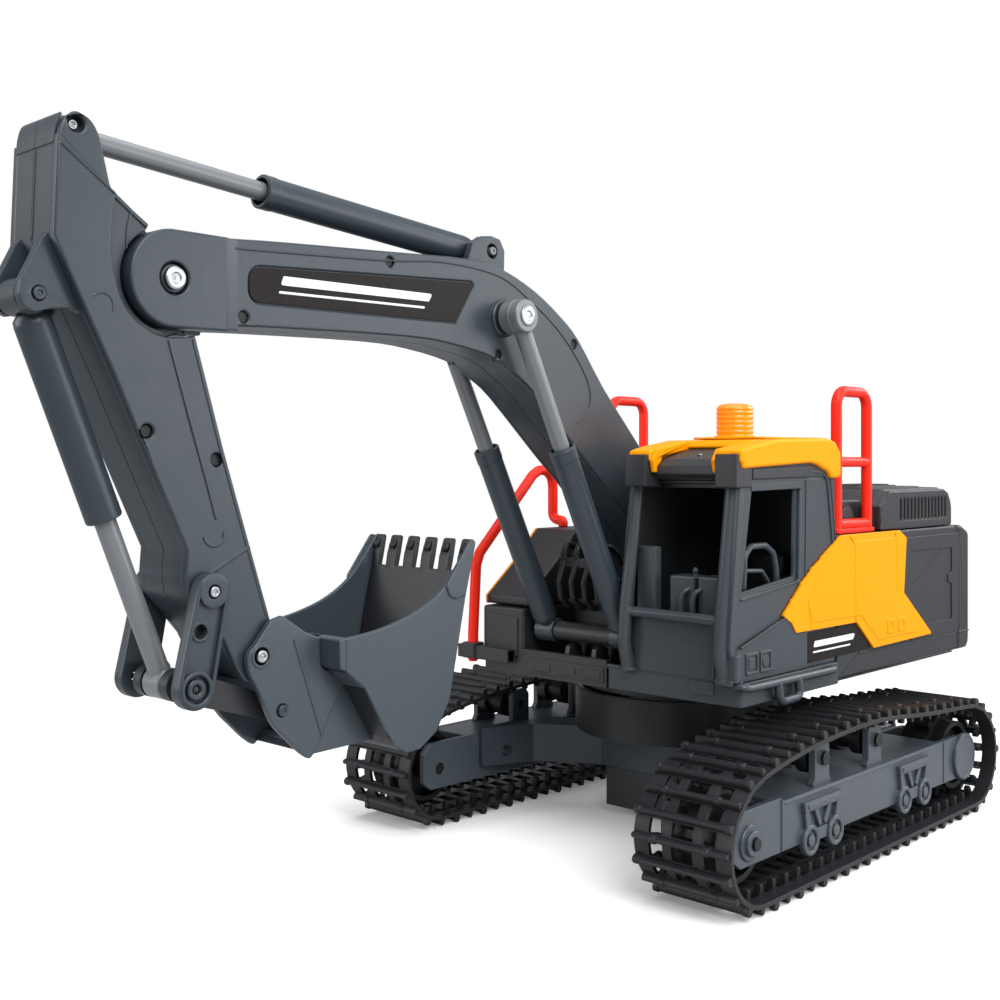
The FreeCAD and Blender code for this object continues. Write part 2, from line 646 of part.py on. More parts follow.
# floor, seat with its back, and three upright blocks ahead of it
shape_part("cab_interior", fused([
    box(6, 94, 41, 101, 105.7, 107.7),
    box(16, 48, 54, 92, 107.7, 134),
    prism([(14, 107.7), (22, 107.7), (20, 172), (15, 176), (11, 172)], 56, 90),
    box(66, 88, 42, 53, 107.7, 168),
    box(72, 88, 65, 78, 107.7, 153),
    box(72, 88, 83, 96, 107.7, 153)]))

# --- rails -----------------------------------------------------------------------------------------
RAIL_REAR, RAIL_FRONT = -45, -9.4          # x of a rear rail's legs
REAR_RAIL = [(RAIL_REAR, ON_BODY), (RAIL_REAR, 247), (-43.7, 251.3), (-39, 253),
             (-15.4, 253), (-10.7, 251.3), (RAIL_FRONT, 247), (RAIL_FRONT, ON_BODY)]


def rear_rail(y):
    return fused([flat_pipe(REAR_RAIL, y, DIMS["rail_r"]),
                  rod((RAIL_REAR, y, 213), (RAIL_FRONT, y, 213), 2.8),
                  rod((RAIL_REAR, y, 177), (RAIL_FRONT, y, 177), 3.0)])


compound_part("rear_handrails", [rear_rail(101.0), rear_rail(-60.0)])

# rail outside the right front box, turned in to the body at its rear end (x, z)
FRONT_RAIL = [(103, 105.1), (103, 112), (100.5, 152), (97.5, 159), (50, 205), (44, 208),
              (37, 207.5), (32, 203), (31, 197), (31, 177)]
rail_points = [(x, -74.5, z) for x, z in FRONT_RAIL] + [(31, -66, 176), (31, -66, 172.6)]
shape_part("front_handrail", pipe(rail_points, DIMS["rail_r"]))

STEP_Y, STEP_Z = 112.2, 100.5
STIRRUP = [(69, STEP_Z), (67, 91), (64, 89.8), (51, 89.8), (48, 91), (46, STEP_Z)]    # x, z
shape_part("boarding_step", fused(
    [rod((13, STEP_Y, STEP_Z), (97, STEP_Y, STEP_Z), 1.7)]
    + [cross_rod((x, STEP_Z), 109.1, 113, 1.5) for x in (18, 90)]
    + [flat_pipe(STIRRUP, STEP_Y, 1.5)]))

# --- hydraulic hose moulding ahead of the boom foot --------------------------------------------------
FLOOR = value_of(DECK_TOP) + 0.1           # underside of parts that stand on the deck
HOSE = [(80, 132), (88, 131.5), (94.5, 137), (96, 146), (93, 153), (91, 158), (91, 163),
        (89, 166.3), (84, 165.5), (78, 161.5), (74, 156)]                             # x, z
shape_part("hose_bundle", fused(
    [box(74, 79, -17, 17, FLOOR, 99), box(75, 78, -16, -13, 99, 134),
     box(75, 78, 13, 16, 99, 134), box(75, 84, -17, 17, 130, 134)]
    + [flat_pipe(HOSE, y, 1.9) for y in (-13.5, -4.5, 4.5, 13.5)]
    + [box(88.5, 92.5, -17, 17, 153.5, 159.5)]))

# --- inside the house ----------------------------------------------------------------------------------
slew_motor = box(-70, -34, -18, 18, FLOOR, 118).cut(
    post(pinion_x, 0, 95, 109, PINION_SHAFT_R + RUNNING_GAP))
compound_part("house_motors", [
    slew_motor.fuse(post(-60, 0, 118, 146, 12)),
    box(-34, -6, -14, 14, 122, 150).fuse(rod((-34, 0, 136), (-52, 0, 136), 10))])

BOARD_LOW, BOARD_TOP = 112, 113.6
# blocks on the board: x, y, length, width, height
BOARD_BLOCKS = [(-145, -22, 14, 14, 4), (-122, -10, 18, 10, 5), (-140, 10, 10, 24, 6),
                (-112, 20, 12, 20, 9), (-104, -24, 9, 9, 11)]
board = [box(-150, -92, -30, 50, BOARD_LOW, BOARD_TOP)]
for x, y, length, width, height in BOARD_BLOCKS:
    board.append(box(x, x + length, y, y + width, BOARD_TOP, BOARD_TOP + height))
board += [post(x, y, FLOOR, BOARD_LOW, 2.5) for x in (-146, -96) for y in (-26, 46)]
shape_part("circuit_board", fused(board))

# --- boom ----------------------------------------------------------------------------------------------
# side views (x, z): outer line, hollow, screws and the sunk panel
BOOM_OUTER = [
    (339.5, 304.2), (333, 304.5), (310, 306.1), (252, 309.3), (194.7, 312.2), (172.9, 309),
    (150.3, 300.9), (130.2, 289.6), (115.6, 278.4), (93.9, 253.4), (63.2, 223.5),
    (24.5, 184.5), (12.5, 168), (9.5, 158), (9.5, 147), (14, 140.5), (22, 138), (31, 139.5),
    (38, 144.5), (62, 170), (86, 194), (115, 218), (150, 247.5), (164.8, 256.6),
    (181, 264.6), (210, 269.5), (240.6, 271.1), (310, 269.5), (333, 268.5), (339.5, 268.5)]
BOOM_HOLLOW = [
    (322, 302.8), (252, 306.7), (194.7, 309.6), (173.6, 306.4), (151.3, 298.5),
    (131.6, 287.4), (117.3, 276.6), (95.7, 251.6), (65, 221.7), (40, 196.5), (33, 186),
    (58, 169.6), (84.2, 195.8), (113.3, 220), (148.4, 249.6), (163.5, 258.9), (180.2, 267),
    (209.8, 272), (240.6, 273.6), (322, 271.8)]
BOOM_SCREWS = [(330.5, 272.6), (250.3, 304.6), (177.7, 266.6), (119.4, 275.6)]
BOOM_PANEL = [(333, 282), (333, 293), (327.3, 296.3), (193.9, 301.2), (207.6, 279.8),
              (327.3, 278.7)]
EAR_R, EAR_CORNERS, EAR_INNER = 19.3, 36, 10.4
ear_angles = [2 * math.pi * i / EAR_CORNERS for i in range(EAR_CORNERS)]
ear_disc = [(ELBOW[0] + EAR_R * math.cos(angle), ELBOW[1] + EAR_R * math.sin(angle))
            for angle in ear_angles]

for name, side in SIDES:
    boom = Solid(f"boom_{name}_shell", side)
    boom.pad("XZ", 0.0, "boom_half", BOOM_OUTER)
    boom.cut("XZ", 0.0, "boom_half - boom_wall", BOOM_HOLLOW)
    boom.pad("XZ", 0.0, 15.5, (*CYL_TOP, 8.0))
    for spot in BOOM_SCREWS:
        boom.pad("XZ", 0.0, 15.5, (*spot, 4.2))
    # ear at the elbow and the web that joins it to the boom
    boom.pad("XZ", EAR_INNER, "boom_ear", ear_disc)
    boom.pad("XZ", EAR_INNER, 19.9,
             [(333, 304.5), (333, 268.5), (364.8, 265.5), (364.8, 304.0)])
    # arm cylinder bracket on the back of the boom
    boom.pad("XZ", 8.0, 12.5, [(196, 310), (191.6, 321.4), (185, 325.5), (172, 325.5),
                               (168.5, 320), (168.9, 307)])
    # disc on the ear; on the right its span is turned inward, so its length is negative
    disc_end = "boom_ear + 0.8" if side > 0 else "boom_ear - 0.8"
    boom.pad("XZ", "boom_ear", disc_end, (*ELBOW, 9.6))
    boom.cut("XZ", 16.4, "boom_half", BOOM_PANEL)
    boom.cut("XZ", 9, 22, (*ELBOW, "pin_r"))
    boom.cut("XZ", 7, 13, (*ARM_REAR, "pin_r"))
    boom.cut("XZ", 0.0, 18, (*CYL_TOP, "pin_r"))
    boom.cut("XZ", 0.0, 18, (*FOOT, "pin_bore"))
    for spot in BOOM_SCREWS:
        boom.cut("XZ", 12.0, 18, (*spot, "screw_r + 0.3"))

compound_part("boom_screws", screw_pairs(BOOM_SCREWS, 15.9))
compound_part("boom_pins", [
    headed_pin(ELBOW, half=20.9, head=1.4),
    headed_pin(ARM_REAR, half=12.6, head=1.2),
    headed_pin(CYL_TOP, half=33.6, head=1.4)])
shape_part("arm_motor", box(262, 300, -11, 11, 277, 299).fuse(
    rod((262, 0, 288), (238, 0, 288), 9.5)))

# --- arm -----------------------------------------------------------------------------------------------
# side views (x, z): outer line, hollow, front bracket and screws
ARM_OUTER = [
    (410.2, 340.5), (404.4, 343.8), (397.5, 341.5), (393.2, 333.5), (392.3, 326.3),
    (390.6, 318), (380, 310), (369.5, 302.6), (358, 297), (351.5, 288), (350.5, 277),
    (354.5, 265), (340.9, 219), (327.7, 178.1), (317.7, 147.2), (316.5, 138), (318.5, 129),
    (323, 123.5), (326.4, 121.7), (330.5, 123), (334, 128), (340.5, 140.8), (350, 152),
    (357.3, 160), (358.5, 168), (357.7, 178), (374, 212.6), (389.5, 246.3), (404, 275.4),
    (413.6, 295.4), (411.4, 334.5)]
ARM_HOLLOW = [
    (357.5, 258), (343.4, 218.5), (330.2, 177.4), (324, 158), (338, 148), (345, 172),
    (354.6, 179), (371.5, 213.5), (387, 247.3), (391.5, 256.5), (375, 254)]
ARM_BRACKET = [
    (396, 262), (404.5, 266), (412, 267.2), (420, 267.6), (424.5, 272), (424.5, 278),
    (420, 282.5), (412, 284.5), (403, 290), (396, 290)]
ARM_SCREWS = [(375.5, 224.9), (343.9, 213.8)]
EYE_ROOM = 8.2                             # half width cleared for the cylinder eyes
BRACKET_OUTER = 12.4

for name, side in SIDES:
    arm = Solid(f"arm_{name}_shell", side)
    arm.pad("XZ", 0.0, "arm_half", ARM_OUTER)
    arm.cut("XZ", 0.0, "arm_half - arm_wall", ARM_HOLLOW)
    for spot in ARM_SCREWS:
        arm.pad("XZ", 0.0, 15.6, (*spot, 4.4))
    # neck that fits between the boom's ears
    arm.cut("XZ", "arm_neck", 18.5, (*ELBOW, 24.8))
    # room for the arm cylinder's eye at the top
    arm.cut("XZ", 0.0, EYE_ROOM, (*ARM_TOP, 11.0))
    arm.cut("XZ", 0.0, EYE_ROOM,
            [(385, 352), (385, 326), (396, 326), (404, 331), (404, 352)])
    # bracket for the bucket cylinder on the front
    arm.pad("XZ", EYE_ROOM, BRACKET_OUTER, ARM_BRACKET)
    arm.cut("XZ", BRACKET_OUTER, 18, [(404.2, 262), (430, 262), (430, 296), (413.2, 296)])
    arm.cut("XZ", 0.0, EYE_ROOM, (*BUCKET_TOP, 9.5))
    arm.cut("XZ", 0.0, 18, (*ELBOW, "pin_bore"))
    for spot in (ARM_TOP, BUCKET_TOP, HINGE, ROCKER):
        arm.cut("XZ", 0.0, 18, (*spot, "pin_r"))
    for spot in ARM_SCREWS:
        arm.cut("XZ", 12.0, 18, (*spot, "screw_r + 0.3"))

compound_part("arm_screws", screw_pairs(ARM_SCREWS, 16.2))
ARM_PINS = ((ARM_TOP, 17.8), (BUCKET_TOP, 12.5), (ROCKER, 24.8), (HINGE, 22.4))  # half length
compound_part("arm_pins", [headed_pin(spot, half, head=1.2) for spot, half in ARM_PINS])
shape_part("bucket_motor", box(356, 377, -9.5, 9.5, 232, 252).fuse(
    rod((366, 0, 233), (361, 0, 221), 4.0)))

# --- cylinders -----------------------------------------------------------------------------------------
PIN_BORE = DIMS["pin_bore"]


def direction(start, end):
    length = math.hypot(end[0] - start[0], end[1] - start[1])
    return (end[0] - start[0]) / length, (end[1] - start[1]) / length


def line_rod(start, end, near, far, y, radius):
    """Rod on the line start-end, between two distances from its start."""
    ux, uz = direction(start, end)
    return rod((start[0] + ux * near, y, start[1] + uz * near),
               (start[0] + ux * far, y, start[1] + uz * far), radius)


def barrel(base, tip, length, radius, bore, eye_half, y=0.0):
    """Tube with a collar at its mouth and a cross eye as thick as the tube."""
    tube = fused([line_rod(base, tip, 4.0, length, y, radius),
                  line_rod(base, tip, length - 6, length, y, radius + 0.7),
                  cross_rod(base, y - eye_half, y + eye_half, radius)])
    tube = tube.cut(line_rod(base, tip, 12.0, length + 5, y, bore))
    return tube.cut(cross_rod(base, y - 20, y + 20, PIN_BORE))


def plunger(eye, far, reach, radius, eye_r, eye_half, y=0.0):
    """Piston rod with a cross eye."""
    stem = line_rod(eye, far, 2.0, reach, y, radius)
    stem = stem.fuse(cross_rod(eye, y - eye_half, y + eye_half, eye_r))
    return stem.cut(cross_rod(eye, y - 20, y + 20, PIN_BORE))


boom_cylinder_ys = [side * DIMS["boom_cyl_y"] for _, side in SIDES]
compound_part("boom_cylinder_barrels", [
    barrel(CYL_LOW, CYL_TOP, length=116.0, radius=DIMS["boom_barrel_r"], bore=5.95,
           eye_half=6.6, y=y) for y in boom_cylinder_ys])
compound_part("boom_cylinder_rods", [
    plunger(CYL_TOP, CYL_LOW, reach=132.0, radius=DIMS["boom_rod_r"], eye_r=8.2,
            eye_half=6.4, y=y) for y in boom_cylinder_ys])
shape_part("arm_cylinder_barrel", barrel(
    ARM_REAR, ARM_TOP, length=133.0, radius=DIMS["arm_barrel_r"], bore=6.25, eye_half=7.4))
shape_part("arm_cylinder_rod", plunger(
    ARM_TOP, ARM_REAR, reach=160.0, radius=DIMS["arm_rod_r"], eye_r=7.0, eye_half=7.6))
shape_part("bucket_cylinder_barrel", barrel(
    BUCKET_TOP, BUCKET_EYE, length=90.0, radius=DIMS["bucket_barrel_r"], bore=5.9,
    eye_half=7.4))
shape_part("bucket_cylinder_rod", plunger(
    BUCKET_EYE, BUCKET_TOP, reach=115.0, radius=DIMS["bucket_rod_r"], eye_r=6.5,
    eye_half=6.0))


# --- links ---------------------------------------------------------------------------------------------
def strap(start, end, start_r, end_r, y0, y1):
    """Flat bar with round ends between two (x, z) points."""
    ux, uz = direction(start, end)
    web = prism([(start[0] - uz * start_r, start[1] + ux * start_r),
                 (end[0] - uz * end_r, end[1] + ux * end_r),
                 (end[0] + uz * end_r, end[1] - ux * end_r),
                 (start[0] + uz * start_r, start[1] - ux * start_r)], y0, y1)
    return fused([web, cross_rod(start, y0, y1, start_r), cross_rod(end, y0, y1, end_r)])


LINK_INNER, LINK_OUTER = 18.2, DIMS["link_half"]
LINK_SPANS = ((LINK_INNER, LINK_OUTER), (-LINK_OUTER, -LINK_INNER))
LINK_HOLE = (354.9, 146.0)                 # x, z
LINK_TAIL = (371.0, 124.5)                 # cross bar ahead of the eye, x, z
LINK_PIN_R = 2.6

rockers = []
for y0, y1 in LINK_SPANS:
    plate = strap(ROCKER, BUCKET_EYE, 7.6, 7.6, y0, y1)
    rockers.append(plate.cut(cross_rod(LINK_HOLE, y0 - 1, y1 + 1, 2.8)))
rockers.append(cross_rod(LINK_TAIL, -18.3, 18.3, 2.4))
rockers += [strap(BUCKET_EYE, LINK_TAIL, 5.0, 2.8, y0, y1) for y0, y1 in LINK_SPANS]
rocker = fused(rockers).cut(cross_rod(ROCKER, -30, 30, PIN_BORE))
shape_part("rocker_links", rocker.cut(cross_rod(BUCKET_EYE, -30, 30, DIMS["pin_r"])))
shape_part("rocker_pin", headed_pin(BUCKET_EYE, half=24.6, head=1.2))

# two straps joined by a bridge
push = fused([strap(BUCKET_EYE, LINK_PIN, 6.6, 5.0, 7.0, 12.5),
              strap(BUCKET_EYE, LINK_PIN, 6.6, 5.0, -12.5, -7.0),
              strap((345.0, 119.5), (327.0, 113.4), 3.4, 3.4, -8.0, 8.0)])
push = push.cut(cross_rod(BUCKET_EYE, -30, 30, 4.55))
shape_part("push_link", push.cut(cross_rod(LINK_PIN, -30, 30, LINK_PIN_R + RUNNING_GAP)))
shape_part("bucket_link_pin",
           headed_pin(LINK_PIN, half=22.4, head=1.2, radius=LINK_PIN_R, head_r=4.2))

# --- bucket --------------------------------------------------------------------------------------------
# side views (x, z)
BUCKET_OUTER = [
    (291, 138), (270, 140.5), (250, 146), (235, 154), (225, 164), (215, 176.5), (212.6, 176),
    (219.4, 149), (229.4, 104), (237.6, 90.6), (247.8, 84.1), (255.2, 83.8), (262.6, 87.6),
    (268.6, 95.8), (280.6, 115.8), (291, 124)]
BUCKET_HOLLOW = [
    (215.2, 186), (222.2, 149.6), (232.1, 105), (239.6, 92.8), (248.6, 86.9), (254.6, 86.6),
    (260.6, 89.8), (266.2, 97.4), (278.2, 117.4), (294, 129.5), (294, 190)]
BUCKET_EAR = [
    (320.5, 147), (327, 139), (331.5, 134), (331, 127), (326, 118), (319.5, 104.5),
    (311.4, 95.8), (296, 86.5), (280, 84.4), (266, 90), (268.5, 95), (280.6, 115.8),
    (288, 122), (291, 138), (304, 146.5), (314, 149)]
# strips across between the ears, then webs from the ears out to the bucket's sides
EAR_STRIPS = [
    [(286, 120.5), (291, 124), (306, 131), (306, 134), (291, 127.5), (285.5, 123)],
    [(262, 87.0), (280, 84.4), (298, 87.7), (298, 90), (280, 87), (266, 90.4)]]
EAR_WEB = [(287, 122), (291, 124), (306, 140), (304, 142), (291, 138), (288.5, 130)]
BUCKET_WALL, EAR_IN, EAR_OUT = 2.5, 18.2, 22.0
TOOTH_WIDTH, TOOTH_GAP = 8.0, 4.4

half = DIMS["bucket_half"]
bucket = prism(BUCKET_OUTER, -half, half)
bucket = bucket.cut(prism(BUCKET_HOLLOW, -half + BUCKET_WALL, half - BUCKET_WALL))
# five slots part the lip into six broad teeth
for i in range(5):
    y = -half + TOOTH_WIDTH + i * (TOOTH_WIDTH + TOOTH_GAP)
    bucket = bucket.cut(prism(rectangle(205, 226, 161.5, 182), y, y + TOOTH_GAP))
for y0, y1 in ((EAR_IN, EAR_OUT), (-EAR_OUT, -EAR_IN)):
    bucket = bucket.fuse(prism(BUCKET_EAR, y0, y1))
for strip in EAR_STRIPS:
    bucket = bucket.fuse(prism(strip, -EAR_OUT, EAR_OUT))
for y0, y1 in ((21.0, half), (-half, -21.0)):
    bucket = bucket.fuse(prism(EAR_WEB, y0, y1))
bucket = bucket.cut(cross_rod(HINGE, -40, 40, PIN_BORE))
shape_part("bucket", bucket.cut(cross_rod(LINK_PIN, -40, 40, LINK_PIN_R)))

# --- power switch under the battery box ------------------------------------------------------------------
shape_part("power_switch_knob", box(8.4, 13.6, -21.7, -16.9, 4.6, 9.0))

# --- check and write -------------------------------------------------------------------------------------
doc.recompute()
bad = [f"{item.Name} {item.State}" for item in doc.Objects
       if "Invalid" in item.State or "Error" in item.State]
for part in PARTS:
    shape = part.Shape
    if shape.isNull() or not shape.isValid() or not shape.Solids:
        bad.append("shape of " + part.Label)
if bad:
    raise SystemExit("bad objects: " + "; ".join(bad))
os.makedirs("parts", exist_ok=True)
for part in PARTS:
    part.Shape.exportStep(f"parts/{part.Label}.step")
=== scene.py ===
"""A tracked toy excavator: moulded looks laid over its CAD pieces, on a lit studio floor.

The bucket reaches forward along +X, the cab stands on the left (+Y) and Z is up. Shapes are
given in millimetres from the slew axis and become metres when a mesh is made.
"""
import random
from math import acos, atan2, cos, hypot, pi, radians, sin, tan

import bmesh
import bpy
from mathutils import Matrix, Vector
from mathutils.geometry import tessellate_polygon


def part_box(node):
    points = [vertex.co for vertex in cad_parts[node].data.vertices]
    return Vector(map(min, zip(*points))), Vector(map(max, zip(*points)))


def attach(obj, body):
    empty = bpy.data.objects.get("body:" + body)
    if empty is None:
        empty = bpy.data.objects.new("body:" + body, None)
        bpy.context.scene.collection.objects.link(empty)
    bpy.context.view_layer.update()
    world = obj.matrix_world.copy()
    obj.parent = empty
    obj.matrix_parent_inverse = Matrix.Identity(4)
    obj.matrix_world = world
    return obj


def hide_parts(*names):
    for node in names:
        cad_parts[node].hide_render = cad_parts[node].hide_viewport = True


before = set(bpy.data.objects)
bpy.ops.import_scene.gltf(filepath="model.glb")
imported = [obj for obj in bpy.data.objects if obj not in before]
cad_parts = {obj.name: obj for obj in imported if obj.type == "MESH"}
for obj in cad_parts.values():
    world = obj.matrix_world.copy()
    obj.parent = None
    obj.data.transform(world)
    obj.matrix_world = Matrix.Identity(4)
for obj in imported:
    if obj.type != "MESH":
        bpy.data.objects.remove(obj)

random.seed(11)
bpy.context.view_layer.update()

MM = 0.001
WHEEL_X, WHEEL_Z = 121.0, 33.0  # idler centre; the sprocket is as far behind the slew axis
sprocket_low, sprocket_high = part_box("left_sprocket")
SLEW_X = (sprocket_low[0] + sprocket_high[0]) * 500 + WHEEL_X  # slew axis in the frame
ALONG_X, ALONG_Y, UP = (1, 0, 0), (0, 1, 0), (0, 0, 1)


# ---------------------------------------------------------------- materials
def node_maker(owner):
    """Empties the node tree of a material or world and returns a function that adds nodes."""
    owner.use_nodes = True
    tree = owner.node_tree
    tree.nodes.clear()

    def node(kind, inputs=None, **settings):
        made = tree.nodes.new("ShaderNode" + kind)
        for key, value in settings.items():
            setattr(made, key, value)
        for key, value in (inputs or {}).items():
            if isinstance(value, bpy.types.NodeSocket):
                tree.links.new(value, made.inputs[key])
            else:
                made.inputs[key].default_value = value
        return made

    return node


def linear(level):
    """Linear light from an sRGB level of 0 to 255."""
    level = level / 255.0
    return level / 12.92 if level <= 0.04045 else ((level + 0.055) / 1.055) ** 2.4


def moulded(name, srgb, rough, drift, grain, edge_highlight, specular, corner_shade, mottle,
            metal=0.0, glow=0.0, coat=0.0):
    """Slow colour drift, fine grain, edges lightened as a painted highlight and corners darkened as
    painted shade.
    """
    material = bpy.data.materials.new(name)
    node = node_maker(material)
    colour = tuple(linear(level) for level in srgb)
    place = node("TexCoord").outputs["Object"]

    def noise(scale, detail):
        return node("TexNoise", {"Vector": place, "Scale": scale, "Detail": detail}).outputs["Fac"]

    def remap(value, from_min, from_max, to_min=0.0, to_max=1.0):
        return node("MapRange", {"Value": value, "From Min": from_min, "From Max": from_max,
                                 "To Min": to_min, "To Max": to_max}).outputs["Result"]

    def scaled(vector, factor):
        return node("VectorMath", {0: vector, "Scale": factor}, operation="SCALE").outputs["Vector"]

    clouds = noise(scale=26, detail=4)
    speck = noise(scale=420, detail=3)
    fine = noise(scale=2300, detail=2)
    mixed = node("Math", {0: speck, 1: 0.35, 2: clouds}, operation="MULTIPLY_ADD").outputs[0]
    base = scaled(colour, remap(mixed, 0.45, 0.9, 1 - drift, 1 + drift))

    # Edges show where the rounded normal turns away from the true one; there the colour is lightened
    # as a painted highlight, broken up by noise.
    rounded_normal = node("Bevel", {"Radius": 0.5 * MM}, samples=4).outputs[0]
    true_normal = node("NewGeometry").outputs["Normal"]
    facing = node("VectorMath", {0: rounded_normal, 1: true_normal}, operation="DOT_PRODUCT")
    edge = remap(facing.outputs["Value"], 0.995, 0.90, 0.0, edge_highlight)
    highlight_mask = node("Math", {0: edge, 1: remap(speck, 0.35, 0.65)}, operation="MULTIPLY").outputs[0]
    highlight_colour = tuple(min(1, c * 1.5 + 0.055) for c in colour) + (1,)
    edged = node("Mix", {"Factor": highlight_mask, 6: base, 7: highlight_colour}, data_type="RGBA").outputs[2]

    # painted shade: the base colour is darkened where ambient occlusion finds nearby surfaces, in
    # corners and creases
    openness = node("AmbientOcclusion", {"Distance": 4 * MM}, samples=4).outputs["AO"]
    bump = node("Bump", {"Strength": grain, "Distance": 0.00006, "Height": fine,
                         "Normal": rounded_normal})
    plastic = {
        "Base Color": scaled(edged, remap(openness, 0.15, 0.8, 1 - corner_shade, 1.0)),
        "Roughness": remap(speck, 0.3, 0.7, max(0.05, rough - mottle), min(1, rough + mottle)),
        "Normal": bump.outputs["Normal"],
        "Metallic": metal,
        "Specular IOR Level": specular,
    }
    if coat:
        plastic.update({"Coat Weight": coat, "Coat Roughness": 0.25})
    if glow:
        plastic.update({"Emission Color": colour + (1.0,), "Emission Strength": glow})
    node("OutputMaterial", {0: node("BsdfPrincipled", plastic).outputs[0]})
    return material


# name, sRGB colour, roughness, colour drift, grain, painted edge highlight, specular, painted corner
# shade, roughness mottle
FINISHES = {
    "grey_plastic": ("grey_moulded", (50, 59, 66), 0.33, 0.04, 0.24, 0.30, 0.45, 0.55, 0.04),
    "cab": ("cab_moulded", (56, 63, 68), 0.36, 0.04, 0.24, 0.34, 0.4, 0.55, 0.04),
    # a lighter copy of the grey plastic, painted sheen for the track frames
    "frame_grey": ("frame_painted_sheen", (70, 78, 85), 0.34, 0.04, 0.24, 0.34, 0.45, 0.55, 0.04),
    # painted shade: darker than the bucket's own grey, standing for the shade inside the bucket
    "bucket_inner": ("bucket_painted_shade", (33, 35, 38), 0.40, 0.04, 0.34, 0.30, 0.4, 0.55, 0.04),
    # a lighter copy of the grey plastic, painted sheen for the bucket sides
    "bucket_grey": ("bucket_painted_sheen", (60, 69, 76), 0.32, 0.04, 0.40, 0.36, 0.5, 0.55, 0.04),
    "dark_plastic": ("charcoal_moulded", (41, 42, 45), 0.44, 0.04, 0.34, 0.24, 0.45, 0.55, 0.04),
    "black_plastic": ("black_moulded", (20, 21, 23), 0.46, 0.05, 0.34, 0.12, 0.4, 0.55, 0.06),
    "yellow_plastic": ("yellow_moulded", (255, 158, 0), 0.42, 0.02, 0.18, 0.10, 0.10, 0.30, 0.06),
    "red_plastic": ("red_moulded", (240, 40, 18), 0.38, 0.03, 0.18, 0.12, 0.25, 0.3, 0.06),
    "rod_plastic": ("rod_grey", (112, 115, 119), 0.30, 0.01, 0.06, 0.0, 0.7, 0.25, 0.0),
    "belt_rubber": ("belt_rubber", (30, 31, 34), 0.44, 0.06, 0.40, 0.55, 0.4, 0.55, 0.05),
    "steel": ("bright_steel", (176, 180, 184), 0.34, 0.02, 0.04, 0.0, 0.5, 0.4, 0.02),
    "amber_lens": ("amber_lens", (255, 124, 0), 0.24, 0.04, 0.05, 0.1, 0.5, 0.1, 0.06),
    "gear_plastic": ("gear_white", (205, 203, 196), 0.42, 0.05, 0.2, 0.2, 0.5, 0.55, 0.06),
    "board": ("board_green", (34, 92, 58), 0.42, 0.10, 0.2, 0.3, 0.5, 0.55, 0.06),
    "cell": ("cell_wrap", (60, 92, 140), 0.34, 0.06, 0.1, 0.3, 0.5, 0.55, 0.06),
    "motor_case": ("motor_can", (150, 152, 156), 0.30, 0.08, 0.15, 0.3, 0.5, 0.55, 0.06),
    "label": ("label_brown", (27, 23, 21), 0.44, 0.03, 0.10, 0.05, 0.15, 0.55, 0.06),
    "mark": ("mark_white", (232, 232, 228), 0.40, 0.03, 0.08, 0.05, 0.5, 0.55, 0.06),
}
EXTRAS = {
    "steel": dict(metal=1.0),
    "amber_lens": dict(glow=0.62, coat=0.2),
    "motor_case": dict(metal=0.9),
}
MATERIALS = {key: moulded(*row, **EXTRAS.get(key, {})) for key, row in FINISHES.items()}


# ---------------------------------------------------------------- outlines
def points(text):
    """Tuples from text: commas join a point's numbers, blanks part the points."""
    return [tuple(map(float, group.split(","))) for group in text.split()]


def rect(x0, x1, z0, z1):
    return [(x0, z0), (x1, z0), (x1, z1), (x0, z1)]


def shifted(poly, x, flip=1):
    """The outline moved to x, mirrored about it when flip is -1."""
    return [(x + flip * a, b) for a, b in poly]


def spot(point, y):
    """A side-view point (x, z) placed at y."""
    return (point[0], y, point[1])


def lay(path, y):
    return [spot(point, y) for point in path]


def at_angle(centre, radius, angle):
    return (centre[0] + radius * cos(angle), centre[1] + radius * sin(angle))


def circle(centre, radius, steps=28):
    return [at_angle(centre, radius, 2 * pi * i / steps) for i in range(steps)]


def arc(centre, radius, start, end, steps):
    """Points from the start angle to the end angle, in degrees."""
    return [at_angle(centre, radius, radians(start + (end - start) * i / steps))
            for i in range(steps + 1)]


def smooth(path, steps=4):
    """Catmull-Rom curve through the points."""
    out = []
    for i in range(len(path) - 1):
        p0, p1 = path[max(i - 1, 0)], path[i]
        p2, p3 = path[i + 1], path[min(i + 2, len(path) - 1)]
        for j in range(steps):
            t = j / steps
            out.append(tuple(
                0.5 * ((2 * b) + (-a + c) * t + (2 * a - 5 * b + 4 * c - d) * t * t
                       + (-a + 3 * b - 3 * c + d) * t ** 3)
                for a, b, c, d in zip(p0, p1, p2, p3)))
    return out + [tuple(path[-1])]


def ccw(poly):
    """The outline running counterclockwise."""
    poly = [tuple(p) for p in poly]
    area = sum(a[0] * b[1] - b[0] * a[1] for a, b in zip(poly, poly[1:] + poly[:1]))
    return poly if area > 0 else poly[::-1]


def corner_arc(here, back, ahead, radius):
    """Centre of the arc that rounds a corner, and the vectors from it to the arc's ends."""
    half = back.angle(ahead) / 2
    reach = min(radius / tan(half), 0.46 * back.length, 0.46 * ahead.length)
    back, ahead = back.normalized(), ahead.normalized()
    centre = here + (back + ahead).normalized() * (reach * tan(half) / sin(half))
    return centre, here + back * reach - centre, here + ahead * reach - centre


